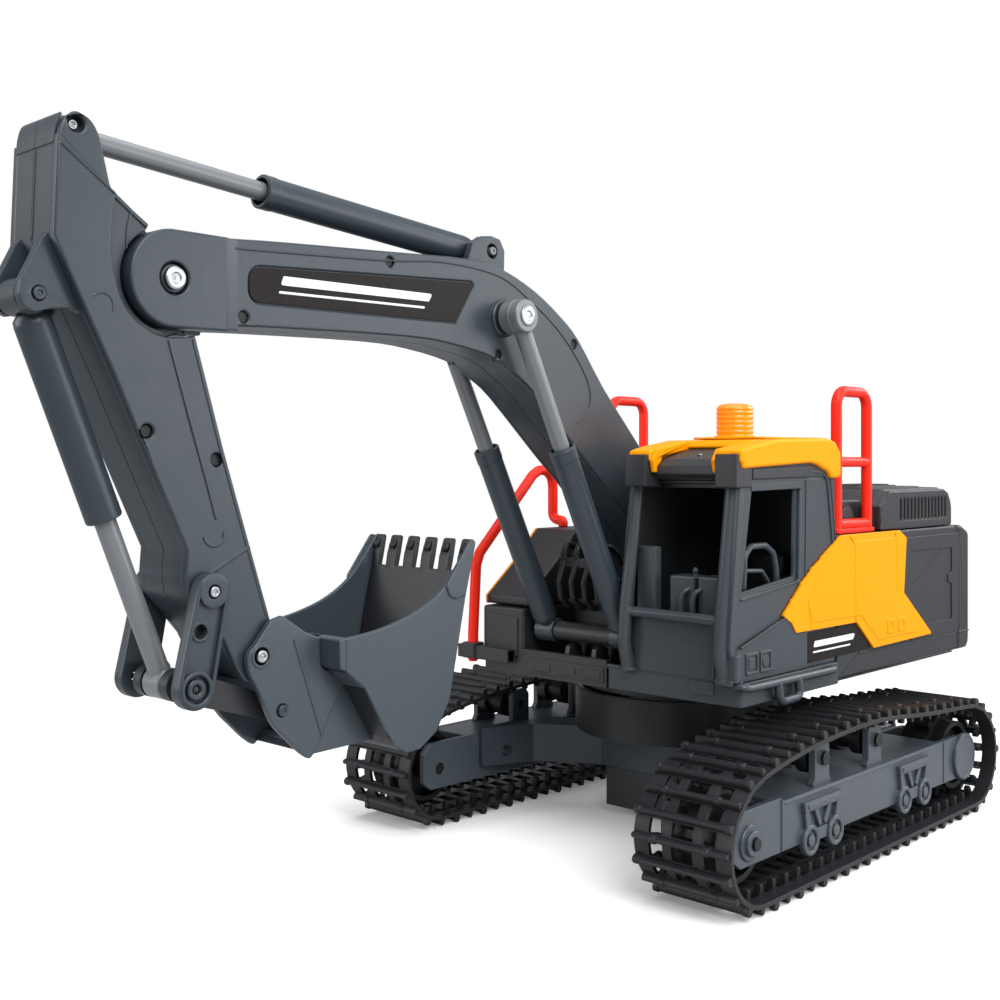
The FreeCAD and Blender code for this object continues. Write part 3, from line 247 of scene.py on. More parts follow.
def fillet(poly, radius, steps=3):
    """The outline with each corner rounded; radius is one value or one per corner."""
    count = len(poly)
    radii = radius if isinstance(radius, list) else [radius] * count
    out = []
    for i in range(count):
        before, here, after = (Vector(poly[j % count]) for j in (i - 1, i, i + 1))
        back, ahead = before - here, after - here
        if not radians(5) <= back.angle(ahead) <= radians(172):
            out.append(tuple(here))
            continue
        centre, first, last = corner_arc(here, back, ahead, radii[i])
        sign = 1 if first.x * last.y - first.y * last.x > 0 else -1
        sweep = sign * first.angle(last)
        for j in range(steps + 1):
            c, s = cos(sweep * j / steps), sin(sweep * j / steps)
            out.append((centre.x + first.x * c - first.y * s, centre.y + first.x * s + first.y * c))
    return out


def rounded(poly, radius, steps=3):
    return fillet(ccw(poly), radius, steps)


def inset(poly, depth):
    """The outline moved inward by depth."""
    poly = ccw(poly)
    out = []
    for i, b in enumerate(poly):
        normals = []
        for start, end in ((poly[i - 1], b), (b, poly[(i + 1) % len(poly)])):
            dx, dz = end[0] - start[0], end[1] - start[1]
            length = hypot(dx, dz) or 1
            normals.append((-dz / length, dx / length))
        n1, n2 = normals
        spread = max(1 + n1[0] * n2[0] + n1[1] * n2[1], 0.5)
        out.append(tuple(b[k] + (n1[k] + n2[k]) * depth / spread for k in (0, 1)))
    return out


# ---------------------------------------------------------------- mesh building
# Where a prism's outline (u, v) and level w go, by the axis it is extruded along.
EXTRUDE = {
    "x": lambda u, v, w: (w, u, v),
    "y": lambda u, v, w: (u, w, v),
    "z": lambda u, v, w: (u, v, w),
}


def wrap_faces(rows, count):
    """Quads that join successive rows of count vertices into a tube."""
    return [[j * count + i, j * count + (i + 1) % count,
             (j + 1) * count + (i + 1) % count, (j + 1) * count + i]
            for j in range(rows - 1) for i in range(count)]


def spinner(origin, axis):
    """A function giving the point at a height, radius and angle round an axis."""
    axis = Vector(axis).normalized()
    side = axis.cross(Vector(UP if abs(axis.z) < 0.9 else ALONG_X)).normalized()
    other = axis.cross(side)
    origin = Vector(origin)
    return lambda height, radius, angle: (
        origin + axis * height + (side * cos(angle) + other * sin(angle)) * radius)


class Shape:
    """Collects geometry in millimetres. A rim is the rounding between a piece's face and side;
    a corner is the rounding of its outline."""

    def __init__(self):
        self.verts, self.faces = [], []

    def add(self, verts, faces):
        base = len(self.verts)
        self.verts += [tuple(p) for p in verts]
        self.faces += [[i + base for i in face] for face in faces]

    def plate(self, poly, low, high, rim=0.5, corner=0.8, holes=(), axis="y", steps=3, layers=2):
        """A prism from low to high with rounded rims and through holes."""
        low, high = min(low, high), max(low, high)
        rim = min(rim, (high - low) * 0.45)
        curve = [(rim * (1 - sin(a)), rim * (1 - cos(a)))
                 for a in (pi / 2 * j / layers for j in range(layers + 1))]
        levels = [(depth, low + rise) for depth, rise in curve]
        levels += [(depth, high - rise) for depth, rise in reversed(curve)]
        loops = [(ccw(rounded(poly, corner, steps) if corner else poly), 1)]
        loops += [(ccw(hole), -1) for hole in holes]
        bottom, top = [], []
        for loop, sign in loops:
            # inset runs counterclockwise, so a hole widens with a negative depth
            rings = [inset(loop, depth * sign) for depth, _ in levels]
            first = len(self.verts)
            self.add([EXTRUDE[axis](*p, level) for ring, (_, level) in zip(rings, levels)
                      for p in ring], wrap_faces(len(levels), len(loop)))
            bottom.append((rings[0], first))
            top.append((rings[-1], len(self.verts) - len(loop)))
        for cap in (bottom, top):
            index = [first + i for ring, first in cap for i in range(len(ring))]
            if len(cap) == 1:
                self.faces.append(index)
                continue
            flat = [[Vector((*p, 0)) for p in ring] for ring, _ in cap]
            self.faces += [[index[i] for i in tri] for tri in tessellate_polygon(flat)]

    def box(self, x0, x1, y0, y1, z0, z1, rim=0.5, corner=0.8, axis="z"):
        """A block; corners are rounded in the plane across the axis."""
        if axis == "z":
            self.plate(rect(x0, x1, y0, y1), z0, z1, rim, corner, axis=axis)
        elif axis == "y":
            self.plate(rect(x0, x1, z0, z1), y0, y1, rim, corner, axis=axis)
        else:
            self.plate(rect(y0, y1, z0, z1), x0, x1, rim, corner, axis=axis)

    def lathe(self, profile, origin, axis=ALONG_Y, segments=32):
        """profile: (distance along the axis, radius) from one end to the other."""
        point = spinner(origin, axis)
        verts = [point(height, radius, 2 * pi * i / segments)
                 for height, radius in profile for i in range(segments)]
        ends = [list(range(segments)), list(range(len(verts) - segments, len(verts)))]
        self.add(verts, wrap_faces(len(profile), segments) + ends)

    def rod(self, start, end, radius, rim=0.5, segments=28):
        start, end = Vector(start), Vector(end)
        length = (end - start).length
        self.lathe([(0, radius - rim), (rim * 0.3, radius - rim * 0.3), (rim, radius),
                    (length - rim, radius), (length - rim * 0.3, radius - rim * 0.3),
                    (length, radius - rim)], start, end - start, segments)

    def ring(self, origin, inner, outer, height, rim=0.3, axis=ALONG_Y, segments=36):
        point = spinner(origin, axis)
        profile = [(0, inner), (height - rim, inner), (height, inner + rim),
                   (height, outer - rim), (height - rim, outer), (0, outer)]
        count = len(profile)
        verts = [point(h, radius, 2 * pi * i / segments)
                 for i in range(segments) for h, radius in profile]
        faces = []
        for i in range(segments):
            here, ahead = i * count, (i + 1) % segments * count
            for j in range(count):
                k = (j + 1) % count
                faces.append([here + j, ahead + j, ahead + k, here + k])
        self.add(verts, faces)

    def sweep(self, path, radius, segments=12, corner=0.0, steps=5):
        """A round bar along a path, with bends of radius corner and shallow domed ends."""
        path = [Vector(p) for p in path]
        if corner:
            bent = [path[0]]
            for before, here, after in zip(path, path[1:], path[2:]):
                back, ahead = before - here, after - here
                if back.angle(ahead) > radians(174):
                    bent.append(here)
                    continue
                centre, first, last = corner_arc(here, back, ahead, corner)
                turn = first.angle(last)
                for j in range(steps + 1):
                    a = turn * j / steps
                    bent.append(centre + (first * sin(turn - a) + last * sin(a)) / sin(turn))
            path = bent + [path[-1]]
        count = len(path)
        along = [(path[min(i + 1, count - 1)] - path[max(i - 1, 0)]).normalized()
                 for i in range(count)]
        side = Vector(ALONG_Y if abs(along[0].y) < 0.9 else UP)
        side = (side - along[0] * side.dot(along[0])).normalized()
        verts = []
        for centre, tangent in zip(path, along):
            side = (side - tangent * side.dot(tangent)).normalized()
            other = tangent.cross(side)
            for j in range(segments):
                a = 2 * pi * j / segments
                verts.append(centre + (side * cos(a) + other * sin(a)) * radius)
        faces = wrap_faces(count, segments)
        for end, sign in ((0, -1), (count - 1, 1)):
            base, tip = end * segments, len(verts)
            for j in range(segments):
                k = (j + 1) % segments
                verts.append(path[end] + (verts[base + j] - path[end]) * 0.72
                             + along[end] * (sign * radius * 0.35))
                faces.append([base + j, base + k, tip + k, tip + j])
            faces.append(list(range(tip, tip + segments)))
        self.add(verts, faces)

    def ribbon(self, path, width, low, high, rim=0.25):
        """A thin raised line along a side-view path."""
        left, right = [], []
        for i, (x, z) in enumerate(path):
            step = Vector(path[min(i + 1, len(path) - 1)]) - Vector(path[max(i - 1, 0)])
            step.normalize()
            dx, dz = -step.y * width / 2, step.x * width / 2
            left.append((x + dx, z + dz))
            right.append((x - dx, z - dz))
        self.plate(left + right[::-1], low, high, rim, corner=0)

    def mirrored(self):
        other = Shape()
        other.add([(x, -y, z) for x, y, z in self.verts], self.faces)
        return other

    def make(self, name, body, material, slot=None, replaces=None, sharp=38):
        """Turns the shape into an object that rides on a body of the frame."""
        mesh = bpy.data.meshes.new(name)
        mesh.from_pydata([((x + SLEW_X) * MM, y * MM, z * MM) for x, y, z in self.verts],
                         [], self.faces)
        work = bmesh.new()
        work.from_mesh(mesh)
        bmesh.ops.recalc_face_normals(work, faces=work.faces)
        work.to_mesh(mesh)
        work.free()
        mesh.shade_smooth()
        mesh.set_sharp_from_angle(angle=radians(sharp))
        mesh.materials.append(MATERIALS[material])
        made = bpy.data.objects.new(name, mesh)
        bpy.context.scene.collection.objects.link(made)
        weight_normals(made)
        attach(made, body)
        if replaces:
            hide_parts(replaces)


def weight_normals(target):
    target.modifiers.new("normals", "WEIGHTED_NORMAL").keep_sharp = True


def both(shape, name, body, material, slot=None, replaces=(None, None)):
    """The same piece on the left and mirrored on the right."""
    shape.make("left_" + name, body, material, slot, replaces[0])
    shape.mirrored().make("right_" + name, body, material, slot, replaces[1])


# ---------------------------------------------------------------- pivots, as (x, z)
FOOT, ELBOW = (23, 152), (364.8, 284.7)
BOOM_CYL_LOW, BOOM_CYL_TOP = (88.4, 117), (174.5, 285)
ARM_CYL_REAR, ARM_CYL_TOP = (177.7, 318.8), (404.4, 338)
BUCKET_CYL_TOP, BUCKET_CYL_EYE = (416.7, 274.5), (357.6, 123.7)
ROCKER, HINGE, LINK = (349.5, 161.5), (325.3, 133), (314.5, 109.1)


# ---------------------------------------------------------------- track belts
BELT_RADIUS = 29.0
BELT_OUTER_Y, BELT_WIDTH = 135.0, 55
BELT_LINKS = 58
# The upper run from the idler back to the sprocket, (x, z).
BELT_TOP = points("""131.5,62.2 119.5,66.6 101,70.0 82,72.5 63,74.2 43,75.4 23,76.0 3,75.7
    -17,74.2 -37,72.2 -57,70.4 -77,69.0 -100,67.8 -118,66.3 -131.0,62.2""")
# Each link's cuts: distance along the link, whether the strip after it is full width.
BELT_CUTS = [(0.0, True), (2.25, False), (5.6, False), (9.31, True)]
# Column edges across the belt from its outer side, and which columns have no windows.
BELT_COLUMNS = [0, 8.5, 16.5, 21.5, 33.5, 38.5, 46.5, BELT_WIDTH]
BELT_SOLID = [True, False, True, False, True, False, True]
# Profiles of the pieces that cross the belt: (along, outward).
BAR = points("""-1.9,-0.6 -1.75,1.0 -1.35,2.5 -0.7,3.3 0,3.55 0.7,3.3 1.35,2.5 1.75,1.0
    1.9,-0.6""")
KNOB = points("""-2.3,-0.5 -2.3,1.9 -1.8,3.2 -0.9,3.9 0,4.0 0.9,3.9 1.8,3.2 2.3,1.9
    2.3,-0.5""")
LUG = points("-1.9,-1.6 -1.5,-6.0 -0.9,-6.9 0.9,-6.9 1.5,-6.0 1.9,-1.6")
LUG_HALF_GAP = 17.2
KNOB_HALF_WIDTH = 1.7  # of knobs and lugs


class BeltRun:
    """Arc-length walk round the belt's outer line."""

    def __init__(self):
        front = [at_angle((WHEEL_X, WHEEL_Z), BELT_RADIUS, radians(-90 + 137.0 * k / 14))
                 for k in range(1, 15)]
        rear = [(-x, z) for x, z in reversed(front)]
        low = WHEEL_Z - BELT_RADIUS
        line = [(-WHEEL_X, low), (WHEEL_X, low)] + front + BELT_TOP + rear
        self.line = [Vector(p) for p in line]
        self.sums = [0.0]
        for here, after in zip(self.line, self.line[1:] + self.line[:1]):
            self.sums.append(self.sums[-1] + (after - here).length)
        self.total = self.sums[-1]

    def at(self, s):
        s = s % self.total
        for i in range(len(self.line)):
            if s <= self.sums[i + 1] + 1e-9:
                break
        share = (s - self.sums[i]) / (self.sums[i + 1] - self.sums[i])
        return self.line[i].lerp(self.line[(i + 1) % len(self.line)], share)

    def frame(self, s):
        """Point, tangent and outward normal."""
        tangent = (self.at(s + 2.0) - self.at(s - 2.0)).normalized()
        return self.at(s), tangent, Vector((tangent.y, -tangent.x))


def belt_band(run, pitch, side):
    """The thin band with its windows."""
    rows = [(i * pitch + cut, full) for i in range(BELT_LINKS) for cut, full in BELT_CUTS]
    columns = len(BELT_COLUMNS)
    verts = []
    for s, _ in rows:
        point, _, outward = run.frame(s)
        outer, inner = point, point + outward * -2.1
        for across in BELT_COLUMNS:
            y = side * (BELT_OUTER_Y - across)
            verts += [spot(outer, y), spot(inner, y)]

    def vert(row, column, layer):
        return (row % len(rows) * columns + column) * 2 + layer

    def filled(row, column):
        return 0 <= column < columns - 1 and (rows[row % len(rows)][1] or BELT_SOLID[column])

    faces = []
    for i in range(len(rows)):
        for c in range(columns - 1):
            if not filled(i, c):
                continue
            for layer in (0, 1):
                faces.append([vert(i, c, layer), vert(i + 1, c, layer),
                              vert(i + 1, c + 1, layer), vert(i, c + 1, layer)])
            for edge, beside in ((c, c - 1), (c + 1, c + 1)):
                if not filled(i, beside):
                    faces.append([vert(i, edge, 0), vert(i + 1, edge, 0),
                                  vert(i + 1, edge, 1), vert(i, edge, 1)])
            for edge, beside in ((i, i - 1), (i + 1, i + 1)):
                if not filled(beside, c):
                    faces.append([vert(edge, c, 0), vert(edge, c + 1, 0),
                                  vert(edge, c + 1, 1), vert(edge, c, 1)])
    band = Shape()
    band.add(verts, faces)
    return band


def belt_bars(run, pitch, side):
    """Tread bars and knobs outside, guide lugs inside."""
    bars = Shape()

    def cross(s, profile, start, end):
        """A bar across the belt, its ends drawn in over the last half millimetre."""
        point, tangent, outward = run.frame(s)
        count = len(profile)
        mid_along = sum(p[0] for p in profile) / count
        mid_out = sum(p[1] for p in profile) / count
        verts = []
        for across, scale in ((start, 0.82), (start + 0.5, 1.0), (end - 0.5, 1.0), (end, 0.82)):
            for along, out in profile:
                place = (point + tangent * (mid_along + (along - mid_along) * scale)
                         + outward * (mid_out + (out - mid_out) * scale))
                verts.append(spot(place, side * (BELT_OUTER_Y - across)))
        caps = [list(range(count)), list(range(3 * count, 4 * count))]
        bars.add(verts, wrap_faces(4, count) + caps)

    middle = BELT_WIDTH / 2
    for i in range(BELT_LINKS):
        s = i * pitch
        cross(s, BAR, 0.6, BELT_WIDTH - 0.6)
        knobs = (1.9, 53.1) if i % 2 == 0 else (12.5, 42.5)
        lugs = (middle - LUG_HALF_GAP, middle + LUG_HALF_GAP)
        for profile, places in ((KNOB, knobs), (LUG, lugs)):
            for place in places:
                cross(s, profile, place - KNOB_HALF_WIDTH, place + KNOB_HALF_WIDTH)
    return bars


def belts():
    run = BeltRun()
    pitch = run.total / BELT_LINKS
    for tag, side in (("left", 1), ("right", -1)):
        belt_band(run, pitch, side).make(tag + "_belt_band", "undercarriage", "belt_rubber",
                                         replaces=tag + "_track_belt", sharp=50)
        belt_bars(run, pitch, side).make(tag + "_belt_bars", "undercarriage", "belt_rubber",
                                         sharp=50)


# ---------------------------------------------------------------- undercarriage
def track_frames():
    idler, sprocket = (WHEEL_X, WHEEL_Z), (-WHEEL_X, WHEEL_Z)
    part = Shape()
    # beam, then the cheeks that reach past the wheels
    cheek = points("""-125,20.5 -91,21 91,21.5 128,21.5 134,26 134,43 129,48.5 91,48.5 91,46.5
        -91,46.5 -110,46.5 -125,45.5 -134,40 -137,33 -134,26""")
    part.box(-90.6, 90.6, 84.4, 125.5, 22.0, 46.3, 0.6, axis="y")
    axle_hole = circle(idler, 3.2, 24)
    part.plate(cheek, 122.0, 126.0, 0.7, 1.6, holes=[axle_hole])
    part.plate(cheek, 84.0, 88.0, 0.7, 1.6, holes=[axle_hole, circle(sprocket, 8.2)])
    # round hub cover at the sprocket end and nose boss at the idler end
    part.lathe(points("0,14.2 2.0,14.2 2.7,13.5 2.7,12.4 2.3,12.0 2.3,0.1"),
               (-119.0, 125.8, 33.4), segments=48)
    part.ring(spot(idler, 125.8), 3.0, 8.6, 1.8, 0.5)
    part.ring(spot(idler, 127.0), 2.9, 6.2, 2.8, 0.5)
    # two bogie brackets, each with a pair of roller bosses
    for bogie in (54.2, -50.4):
        for x in (bogie - 12.6, bogie + 12.6):
            part.ring((x, 125.8, 22.6), 5.2, 7.8, 3.2, 0.6)
            part.lathe(points("0,5.3 1.6,5.3 1.6,3.2 3.0,3.0 3.3,2.6 3.3,0.1"),
                       (x, 125.8, 22.6))
        part.plate(shifted(points("-19.4,42.6 -18.6,37.4 18.6,37.4 19.4,42.6"), bogie),
                   125.6, 128.8, 0.6)
        part.plate(shifted(points("-16.4,41.4 -16.4,38.8 16.4,38.8 16.4,41.4"), bogie),
                   128.0, 129.4, 0.4, 0.6)
        for flip in (-1, 1):
            outer_leg = points("18.2,38.0 14.4,38.0 12.0,29.2 16.6,28.6")
            inner_leg = points("9.0,38.0 5.6,38.0 0.8,29.6 3.4,27.6")
            part.plate(shifted(outer_leg, bogie, flip), 125.6, 128.4, 0.6, 0.6)
            part.plate(shifted(inner_leg, bogie, flip), 125.6, 128.2, 0.6, 0.6)
        part.plate(shifted(points("-5.4,27.4 5.4,27.4 4.4,21.0 -4.4,21.0"), bogie),
                   125.6, 127.8)
    # posts that carry the upper rollers, on both faces
    post = points("-10,46 10,46 7.5,50 7.5,66 5,69.3 -5,69.3 -7.5,66 -7.5,50")
    for x in (46.0, -12.0):
        for y in (119.0, 88.0):
            part.plate(shifted(post, x), y, y + 4.0, 0.6, 1.0, holes=[circle((x, 60), 2.4, 20)])
        part.ring((x, 122.6, 60), 2.5, 4.0, 1.2)
    # raised rim along the beam and seams at its ends
    part.ribbon([(88, 45.0), (-88, 45.0)], 1.0, 125.4, 126.4)
    part.ribbon([(91.4, 22.2), (91.4, 47.8)], 1.1, 125.8, 126.7)
    part.ribbon([(-93, 22.2), (-93, 45.8)], 1.1, 125.8, 126.6)
    # the frames take the lighter grey, a painted sheen
    both(part, "track_side_frame", "undercarriage", "frame_grey", "grey_plastic",
         replaces=("left_track_frame", "right_track_frame"))
    tip = Shape()
    tip.lathe(points("-3.0,2.6 0.4,2.6 0.9,2.1 0.9,0.1"), spot(idler, 129.8), segments=24)
    both(tip, "idler_axle_tip", "undercarriage", "steel")


def slew_collar():
    """Dark collar round the slewing pedestal."""
    part = Shape()
    part.ring((0, 0, 52.6), 62.05, 62.7, 25.2, 0.2, axis=UP, segments=64)
    part.make("slew_collar", "undercarriage", "black_plastic", "dark_plastic")


# ---------------------------------------------------------------- boom
# Side outline (x, z): top edge from the elbow back, foot, then the underside forward.
BOOM_TOP = points("""339.5,304.2 333,304.5 310,306.1 252,309.3 194.7,312.2 172.9,309
    150.3,300.9 130.2,289.6 115.6,278.4 93.9,253.4 63.2,223.5 24.5,184.5""")
BOOM_FOOT = points("12.5,168 9.5,158 9.5,147 14,140.5 22,138 31,139.5 38,144.5")
BOOM_UNDER = points("""62,170 86,194 115,218 150,247.5 164.8,256.6 181,264.6 210,269.5
    240.6,271.1 310,269.5 333,268.5 339.5,268.5""")
BOOM_SCREWS = points("330.5,272.6 250.3,304.6 177.7,266.6 119.4,275.6")
BOOM_NAMEPLATE = points("328.4,278.7 328.4,294.2 193.9,301.2 207.6,279.8")
BOOM_BORDER = points("""336,300.3 310,301.6 252,304.9 218.8,308.2 188.6,307.3 171.7,304.0
    156.3,296.6 138.0,286.1 123.7,274.8 111.5,261.4 106.0,250.6 107.8,241.0 116.4,233.7""")


def screw_heads(places, radius, y, body):
    part = Shape()
    for place in places:
        part.lathe([(0, radius), (0.5, radius), (0.8, 2.0)], spot(place, y), segments=18)
    both(part, body + "_screw_heads", body, "black_plastic", "steel")


def boom():
    line = smooth(BOOM_TOP, 3) + BOOM_FOOT + smooth(BOOM_UNDER, 3)
    screws = [circle(place, 2.5, 18) for place in BOOM_SCREWS]
    pins = [circle(FOOT, 5.3), circle(BOOM_CYL_TOP, 3.7, 24)]
    plate_edge = fillet(BOOM_NAMEPLATE, [5.5, 6.5, 2.2, 2.2], 6)
    part = Shape()
    # inner body and outer skin; a 0.3 mm gap between the halves leaves the seam's shadow
    part.plate(inset(line, 0.06), 0.15, 16.4, 0.2, 0, screws + pins)
    part.plate(line, 14.2, 17.2, 0.9, 0, screws + [plate_edge] + pins, layers=3)
    part.ribbon(smooth(BOOM_BORDER), 0.7, 17.0, 17.75, 0.3)
    # ear round the elbow pin
    ear = [(340.0, 303.9)] + arc(ELBOW, 19.3, 92, -92, 30) + [(340.0, 265.9)]
    part.plate(ear, 10.4, 20.0, 1.0, 0, [circle(ELBOW, 6.4, 32)], layers=3)
    part.plate(points("344,10.4 344,19.5 340.9,19.5 333.4,17.1 333.4,10.4"),
               266.6, 303.8, 0.6, 0, axis="z")
    part.ring(spot(ELBOW, 16.0), 4.0, 5.6, 3.0)
    part.plate(circle(ELBOW, 6.6, 32), 10.4, 16.2, 0.3, 0, [circle(ELBOW, 3.8, 24)])
    # boss round the upper cylinder pin
    part.ring(spot(BOOM_CYL_TOP, 16.6), 3.8, 9.4, 2.6, 0.7)
    # bracket of the arm cylinder
    part.plate(points("196,310 191.6,321.4 185,325.5 178,326.4 172,325.5 168.5,320 168.9,307"),
               8.0, 12.5, 0.6, 2.0, [circle(ARM_CYL_REAR, 3.6, 24)])
    part.box(165, 199, 0.2, 12.0, 306.5, 309.6, 0.4)
    # foot boss
    part.ring(spot(FOOT, 16.9), 5.4, 10.5, 0.9, 0.4)
    both(part, "boom_half", "boom", "grey_plastic",
         replaces=("boom_left_shell", "boom_right_shell"))
    # blank nameplate with plain bars
    label = Shape()
    label.plate(inset(plate_edge, 0.5), 16.3, 17.02, 0.15, 0)
    both(label, "boom_label", "boom", "label", "dark_plastic")
    marks = Shape()
    marks.plate(points("312,287.6 226,288.6 223.6,292.4 310.4,291.6"), 16.9, 17.2, 0.1)
    marks.plate(points("313,284.0 229,285.0 228.4,286.1 312.6,285.1"), 16.9, 17.2, 0.1, 0.3)
    both(marks, "boom_marks", "boom", "mark", "grey_plastic")
    screw_heads(BOOM_SCREWS, 2.45, 8.0, "boom")


# ---------------------------------------------------------------- arm
ARM_SCREWS = points("375.5,224.9 343.9,213.8")


def arm():
    part = Shape()
    # full-width side shell: the outline with a round bite at the elbow
    bite = points("""389.7,309.2 390.2,303.9 390.5,298.5 390.6,293.2 390.0,288.0 388.9,282.8
        386.7,275.4 383.0,269.8 378.8,266.2""")
    shell = points("412.0,333.0 408.5,331.0 390.4,315.2 388.9,313.6")
    shell += smooth(bite, 2) + arc(ELBOW, 22.9, -56, -88, 6)
    shell += points("""356.0,262.8 354.0,263.3 340.9,219 327.7,178.1 317.7,147.2 316.5,138
        318.5,129 323,123.5 326.4,121.7 330.5,123 334,128 340.5,140.8 350,152 357.3,160
        358.5,168 357.7,178 374,212.6 389.5,246.3 404,275.4 413.6,295.4""")
    holes = [circle(place, 2.8, 20) for place in ARM_SCREWS]
    holes += [circle(HINGE, 3.3, 24), circle(ROCKER, 3.3, 24)]
    part.plate(inset(shell, 0.06), 0.15, 15.0, 0.2, 0, holes)
    part.plate(shell, 13.5, 17.7, 0.9, 0, holes, layers=3)
    # top lobe round the rod pin, a step lower than the side
    lobe = smooth(points("""411.6,331.5 411.0,335.5 409.0,339.4 405.4,341.8 401.2,341.8
        397.6,339.4 394.9,334.5 392.8,326.3 390.8,318"""), 3) + [(388.6, 312.5), (396, 309)]
    part.plate(lobe, 8.4, 16.9, 0.9, 0, [circle(ARM_CYL_TOP, 3.4, 24)], layers=3)
    # shoulder between the lobe and the elbow, set back
    shoulder = points("392.0,316 390.6,318 380,310 373.0,305.2")
    shoulder += arc(ELBOW, 20.4, 62, -84, 26)
    shoulder += points("""367,262.2 378.5,264.6 384.4,269.4 388.4,276 391.2,284 392.4,293
        392.2,304""")
    part.plate(shoulder, 0.15, 14.6, corner=0)
    part.ribbon(points("391.4,316.6 380.6,308.6 374.0,304.0"), 1.1, 14.3, 15.3)
    part.ribbon(points("380.8,309.4 382.6,302.0 382.9,294.5"), 0.9, 14.3, 15.2)
    # front shell carried over the top, above the eye of the arm cylinder
    cap = smooth(points("412.6,330.0 412.3,334.6 411.6,337.9 410.7,340.3 409.5,341.7"), 3)
    cap += arc(ARM_CYL_TOP, 5.4, 36, -20, 8) + [(409.9, 330.0)]
    part.plate(cap, 0.15, 14.6, 0.35, 0)
    # neck between the boom ears
    part.plate(points("""392,314 380,309.6 369.5,302.2 358,296.6 351.8,288 350.8,277
        354.8,265.2 366,261 380,266 392,280"""), 0.15, 9.6, 0.5, 1.2, [circle(ELBOW, 3.7, 24)])
    # lines moulded into the side
    part.ribbon([(411.0, 329.6), (389.2, 314.2)], 0.9, 17.4, 18.1)
    part.ribbon(points("366.2,260.6 357.2,231.2 348.4,203.6 344.4,190"), 1.2, 17.4, 18.3)
    part.ribbon(points("355.0,261.6 342.6,219.6 329.3,178.6 319.6,149"), 1.5, 17.4, 18.1)
    part.ribbon(arc((394.6, 271.8), 4.6, 40, 205, 12), 0.6, 17.45, 18.0)
    part.ribbon(arc((345.5, 184), 4.8, -10, -190, 12), 1.0, 17.4, 18.2)
    part.ribbon(points("353.4,165.0 340.5,171.8 328.2,178.2"), 1.5, 17.4, 18.15, 0.3)
    # bracket of the bucket cylinder
    part.plate(points("""396,264 398,268 404.5,270.0 411.5,269.4 418.5,267.4 422.8,269.2
        424.4,273.8 423.6,279.4 415.6,295.4 412.4,298.6 402,296"""), 8.2, 12.4, 0.6, 2.4,
               [circle(BUCKET_CYL_TOP, 2.7, 24)])
    # seam line down the front, and the rocker boss
    part.plate(points("412.0,329 413.5,296 413.9,296 412.5,329"), 0.15, 0.9, 0.1, 0)
    part.ring(spot(ROCKER, 17.2), 3.4, 6.6, 0.9)
    both(part, "arm_half", "arm", "grey_plastic", replaces=("arm_left_shell", "arm_right_shell"))
    screw_heads(ARM_SCREWS, 2.7, 8.2, "arm")


# ---------------------------------------------------------------- rocker
def rocker():
    bar_hole = (354.9, 146)
    radius, eye_radius = 7.6, 8.4
    dx, dz = BUCKET_CYL_EYE[0] - ROCKER[0], BUCKET_CYL_EYE[1] - ROCKER[1]
    lean, half = atan2(dz, dx), acos((radius - eye_radius) / hypot(dx, dz))
    steps = 14
    bar = [at_angle(ROCKER, radius, lean + half + (2 * pi - 2 * half) * j / steps)
           for j in range(steps + 1)]
    bar += [at_angle(BUCKET_CYL_EYE, eye_radius, lean - half + 2 * half * j / steps)
            for j in range(steps + 1)]
    rocker_hole = circle(ROCKER, 2.8, 22)
    part = Shape()
    part.plate(bar, 18.3, 22.3, 0.7, 0, layers=3,
               holes=[circle(bar_hole, 2.9, 22), rocker_hole, circle(BUCKET_CYL_EYE, 3.4, 22)])
    # raised border, round lands and a sunk middle
    part.plate(bar, 21.5, 24.2, 0.6, 0, [inset(bar, 2.0)])
    part.plate(circle(ROCKER, 6.6, 32), 21.5, 24.4, 0.4, 0, [rocker_hole])
    part.ring(spot(bar_hole, 21.8), 2.9, 4.3, 1.2)
    part.ring(spot(BUCKET_CYL_EYE, 21.5), 5.6, 7.3, 3.4, 0.4)
    part.ring(spot(BUCKET_CYL_EYE, 21.5), 1.9, 4.2, 3.0, 0.5)
    both(part, "rocker_bar", "rocker", "grey_plastic", replaces=("rocker_links", None))
    shaft = Shape()
    shaft.rod(spot(BUCKET_CYL_EYE, -18.6), spot(BUCKET_CYL_EYE, 18.6), 3.2)
    for side in (1, -1):
        shaft.lathe(points("0,1.2 1.0,1.2 1.2,0.9 1.2,0.1"),
                    spot(BUCKET_CYL_EYE, side * 22.6), (0, side, 0), 18)
    shaft.make("rocker_shaft", "rocker", "dark_plastic", replaces="rocker_pin")
    # black discs set in the bar holes: painted shade for the dark inside of the holes
    floor = Shape()
    floor.plate(circle(bar_hole, 3.2, 22), 18.5, 19.1, 0.1, 0)
    both(floor, "rocker_hole_shade", "rocker", "black_plastic", "dark_plastic")


